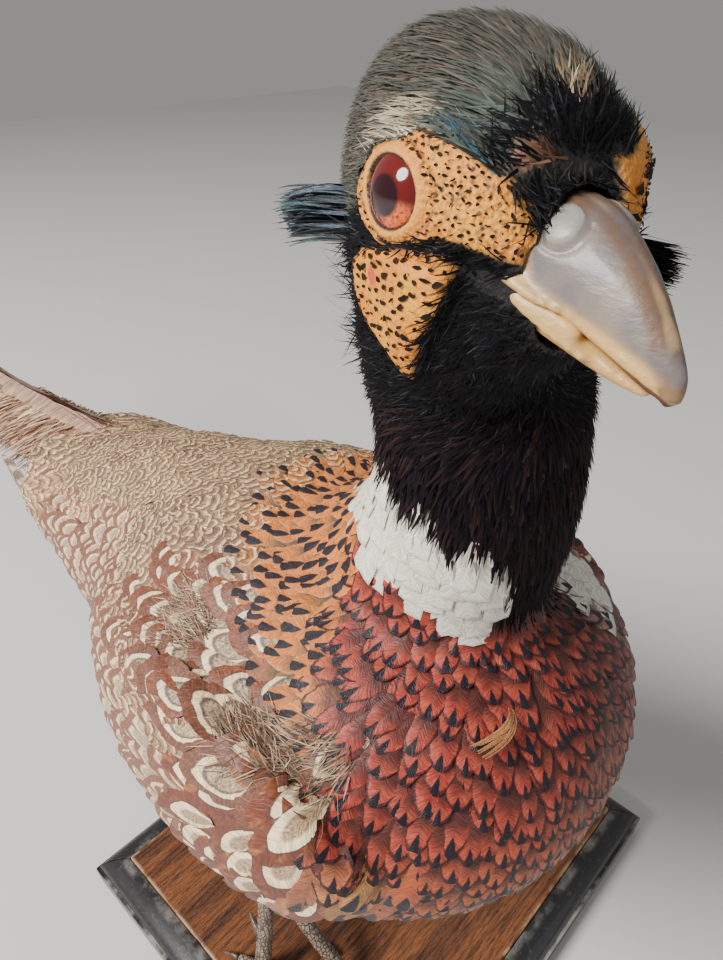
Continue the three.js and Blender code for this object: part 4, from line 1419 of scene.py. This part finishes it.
FRINGE_BARBS = 1500
for name, side in SIDES:
    rng = np.random.default_rng(176 + side)
    y = rng.uniform(100, 215, FRINGE_BARBS)
    down = rng.uniform(10, 26, FRINGE_BARBS)[:, None]
    down_roof = np.array((side * math.cos(SLOPE), 0, -math.sin(SLOPE)))
    starts = np.column_stack((np.full(FRINGE_BARBS, RIDGE_X), y, tail_ridge(y))) + down * down_roof
    ends = starts + np.array((side * 8, 17, -13)) * rng.uniform(0.5, 1.3, (FRINGE_BARBS, 1))
    ends = ends + rng.standard_normal((FRINGE_BARBS, 3)) * 1.5
    bend = np.array((side * 2.5, 0, 1.5)) * MM
    coat("tail_fringe_" + name, blades(starts * MM, ends * MM, bend, 0.42, rng, 5), fringe, "plumage_tail",
         "trunk", "tail_outer_" + name)

# ---- Loose feather ----
# One pale copper feather of the breast has worked loose. It hangs across the others by its root and curls
# away from them.

loose, _, across, along, chance, barb, _ = on_feather("loose")
colour = along.rise(0.05, 0.6).mix((0.3, 0.06, 0.025), (0.62, 0.25, 0.08))
colour = (across.size().rise(0.5, 0.9) * 0.6).mix(colour, (0.85, 0.5, 0.22))
finish(loose, shaded(colour, barb, chance), 0.5, barb, 0.25 * MM)

LOOSE_ROOT = np.array((-75, -103.3, 278.5))
LOOSE_BEND = np.array((-78.5, -107.5, 278.5))
LOOSE_TIP = np.array((-87.2, -103.6, 276.9))
LOOSE_STRANDS = 11
rng = np.random.default_rng(178)
t = np.linspace(0, 1, 16)[:, None]
middle = (1 - t) ** 2 * LOOSE_ROOT + 2 * t * (1 - t) * LOOSE_BEND + t * t * LOOSE_TIP
outward = unit(np.array((-0.3, -0.6, 0.73)))
aside = unit(np.cross(LOOSE_TIP - LOOSE_ROOT, outward))
strand = np.linspace(-1, 1, LOOSE_STRANDS)[:, None, None]
stray = rng.standard_normal((LOOSE_STRANDS, 1, 3)) * 0.35 * t
spine = middle + strand * aside * (0.5 + 1.3 * t) + stray
half = 0.42 * (1 - 0.8 * t.T ** 3) * np.ones((LOOSE_STRANDS, 1))
up = np.broadcast_to(outward, spine.shape)
grown = spread(spine * MM, up, half * MM, rng, columns=2, shaft=0.05)
coat("loose_feather", grown, loose, "plumage_body", "trunk")

# ---- Flight feathers ----
# The ends of the folded flight feathers show along the lower edge of each wing, where they are rooted.
# They are brown with pale bars.

flight, place = new_paint("flight")
across, along, _ = place.node("UVMap", {"uv_map": "Vane"}).parts()
across = across * 2 - 1
chance = place.node("Attribute", {"attribute_name": "chance"}, None, 2)
barb = place.node("CombineXYZ", None, {0: along * 90 + across.size() * 8, 1: across, 2: chance * 90})
barb = barb.noise(1, 3)
blotch = place.noise(140, 3, 0.6)
bar = ((along * 11 + chance + across.size() * 0.5 + blotch * 0.8) * (2 * math.pi)).wave().rise(0.1, 0.7)
colour = bar.mix((0.17, 0.11, 0.075), (0.5, 0.38, 0.26))
colour = across.size().rise(0.06, 0.02).mix(colour, (0.12, 0.07, 0.04))
finish(flight, shaded(colour, barb, chance, 0.7), 0.5, barb, 0.25 * MM)

FLIGHT_FEATHERS = 7
FLIGHT_ROOT = 30
for name, side in SIDES:
    rng = np.random.default_rng(181 + side)
    spines, halves = [], []
    for i in range(FLIGHT_FEATHERS):
        t = np.linspace(0, 1, 24)
        y = FLIGHT_ROOT + (160 - 13 * i) * t
        out = np.interp(y, (30, 60, 96, 132, 164, 190), (43, 41, 38.5, 35.5, 31.5, 28.5)) + 0.5 - 0.45 * i
        high = np.interp(y, (30, 60, 132, 190), (214, 213, 210, 211)) + 5.5 - 2.2 * i + 3 * (1 - t)
        half = 7.5 * np.minimum(1, 0.5 + 2 * t) * np.sqrt(np.clip((1 - t) / 0.12 + 0.04, 0, 1))
        spines.append(np.column_stack((middle_line(y) + side * out, y, high)) * MM)
        halves.append(half * MM)
    spine = np.array(spines)
    up = np.broadcast_to(unit(np.array((side, 0, 0.12))), spine.shape)
    grown = spread(spine, up, np.array(halves), rng, cup=0.15)
    piece = coat("flight_feathers_" + name, grown, flight, "plumage_flight", "trunk", "quills_" + name)
    strips(piece, FLIGHT_FEATHERS)

# ---- Legs ----
# Dry grey-brown shanks and toes in small scales, with dark horn spurs and claws. Wires run down through
# them, and the toes rest on the board.

scaly, place = new_paint("leg_scale")
long_place = place.stretch(1, 1, 0.62)
scale_edge = place.node("TexVoronoi", {"feature": "DISTANCE_TO_EDGE"},
                        {"Vector": long_place, "Scale": 560, "Randomness": 0.65})
dirt = place.noise(130, 3)
colour = dirt.rise(0.3, 0.7).mix((0.2, 0.145, 0.11), (0.33, 0.25, 0.19))
colour = scale_edge.rise(0.14, 0.03).mix(colour, (0.07, 0.045, 0.035))
finish(scaly, colour, 0.5, scale_edge.rise(0.0, 0.2) + dirt * 0.3, 0.35 * MM)

claw_horn, place = new_paint("claw_horn")
line = place.stretch(1, 1, 3).noise(420, 3)
finish(claw_horn, line.rise(0.35, 0.7).mix((0.04, 0.03, 0.025), (0.15, 0.11, 0.08)), 0.3 + line * 0.2, line,
       0.15 * MM, coat_weight=0.2)

TOE_NAMES = ("inner", "middle", "outer", "hind")
SCUTE_GAP = 3.1
SCUTE_GROOVE = 0.28 * MM
for name, side in SIDES:
    for part in ("shank", "foot"):
        shape = remeshed("%s_scales_%s" % (part, name), packed("%s_%s" % (part, name)), 0.7 * MM)
        evened(shape, 0.4, 6)
        if part == "shank":
            z = points_of(shape)[:, 2] / MM
            groove = np.sin(z * (2 * math.pi / SCUTE_GAP)) ** 6 * SCUTE_GROOVE
            move_points(shape, points_of(shape) - normals_of(shape) * groove[:, None])
            into_thigh = easing(z, z.max() - 6, z.max())[:, None] * (0, -0.5, 2.2)
            move_points(shape, points_of(shape) + into_thigh * MM)
        new_piece(shape.name, shape, scaly, "leg_scale", "%s_%s" % (part, name))
    for part in ("spur", *("claw_" + toe for toe in TOE_NAMES)):
        shape = remeshed("%s_horn_%s" % (part, name), packed("%s_%s" % (part, name)), 0.35 * MM)
        evened(shape, 0.4, 4)
        new_piece(shape.name, shape, claw_horn, "claw_horn", "%s_%s" % (part, name))

# ---- Light and floor ----
# The base stands on a plain pale floor. Soft daylight comes from a broad warm lamp, to the left and above,
# and a weak cool lamp and a dim sky lighten the shadows.

floor_mesh = bmesh.new()
bmesh.ops.create_grid(floor_mesh, x_segments=1, y_segments=1, size=3)
floor_paint, place = new_paint("floor")
finish(floor_paint, (place.noise(3, 2) * 0.3).mix((0.72, 0.71, 0.69), (0.66, 0.65, 0.63)), 0.8)
floor = bpy.data.objects.new("floor", mesh_of("floor", floor_mesh))
floor.data.materials.append(floor_paint)
bpy.context.collection.objects.link(floor)

world = bpy.data.worlds.new("studio")
world.use_nodes = True
world.node_tree.nodes["Background"].inputs["Color"].default_value = (1, 0.98, 0.95, 1)
world.node_tree.nodes["Background"].inputs["Strength"].default_value = 0.3
bpy.context.scene.world = world


def lamp(name, place, aim, width, power, colour=(1, 1, 1)):
    light = bpy.data.lights.new(name, "AREA")
    light.shape = "DISK"
    light.size = width
    light.energy = power
    light.color = colour
    lamp_object = bpy.data.objects.new(name, light)
    lamp_object.location = place
    lamp_object.rotation_euler = (Vector(aim) - Vector(place)).to_track_quat("-Z", "Y").to_euler()
    bpy.context.collection.objects.link(lamp_object)


lamp("key", (-1.6, 0.5, 1.7), (-0.06, 0, 0.25), 0.9, 95, (1, 0.97, 0.93))
lamp("fill", (0.6, -1.6, 1.1), (-0.06, 0, 0.25), 1.4, 3, (0.9, 0.95, 1))
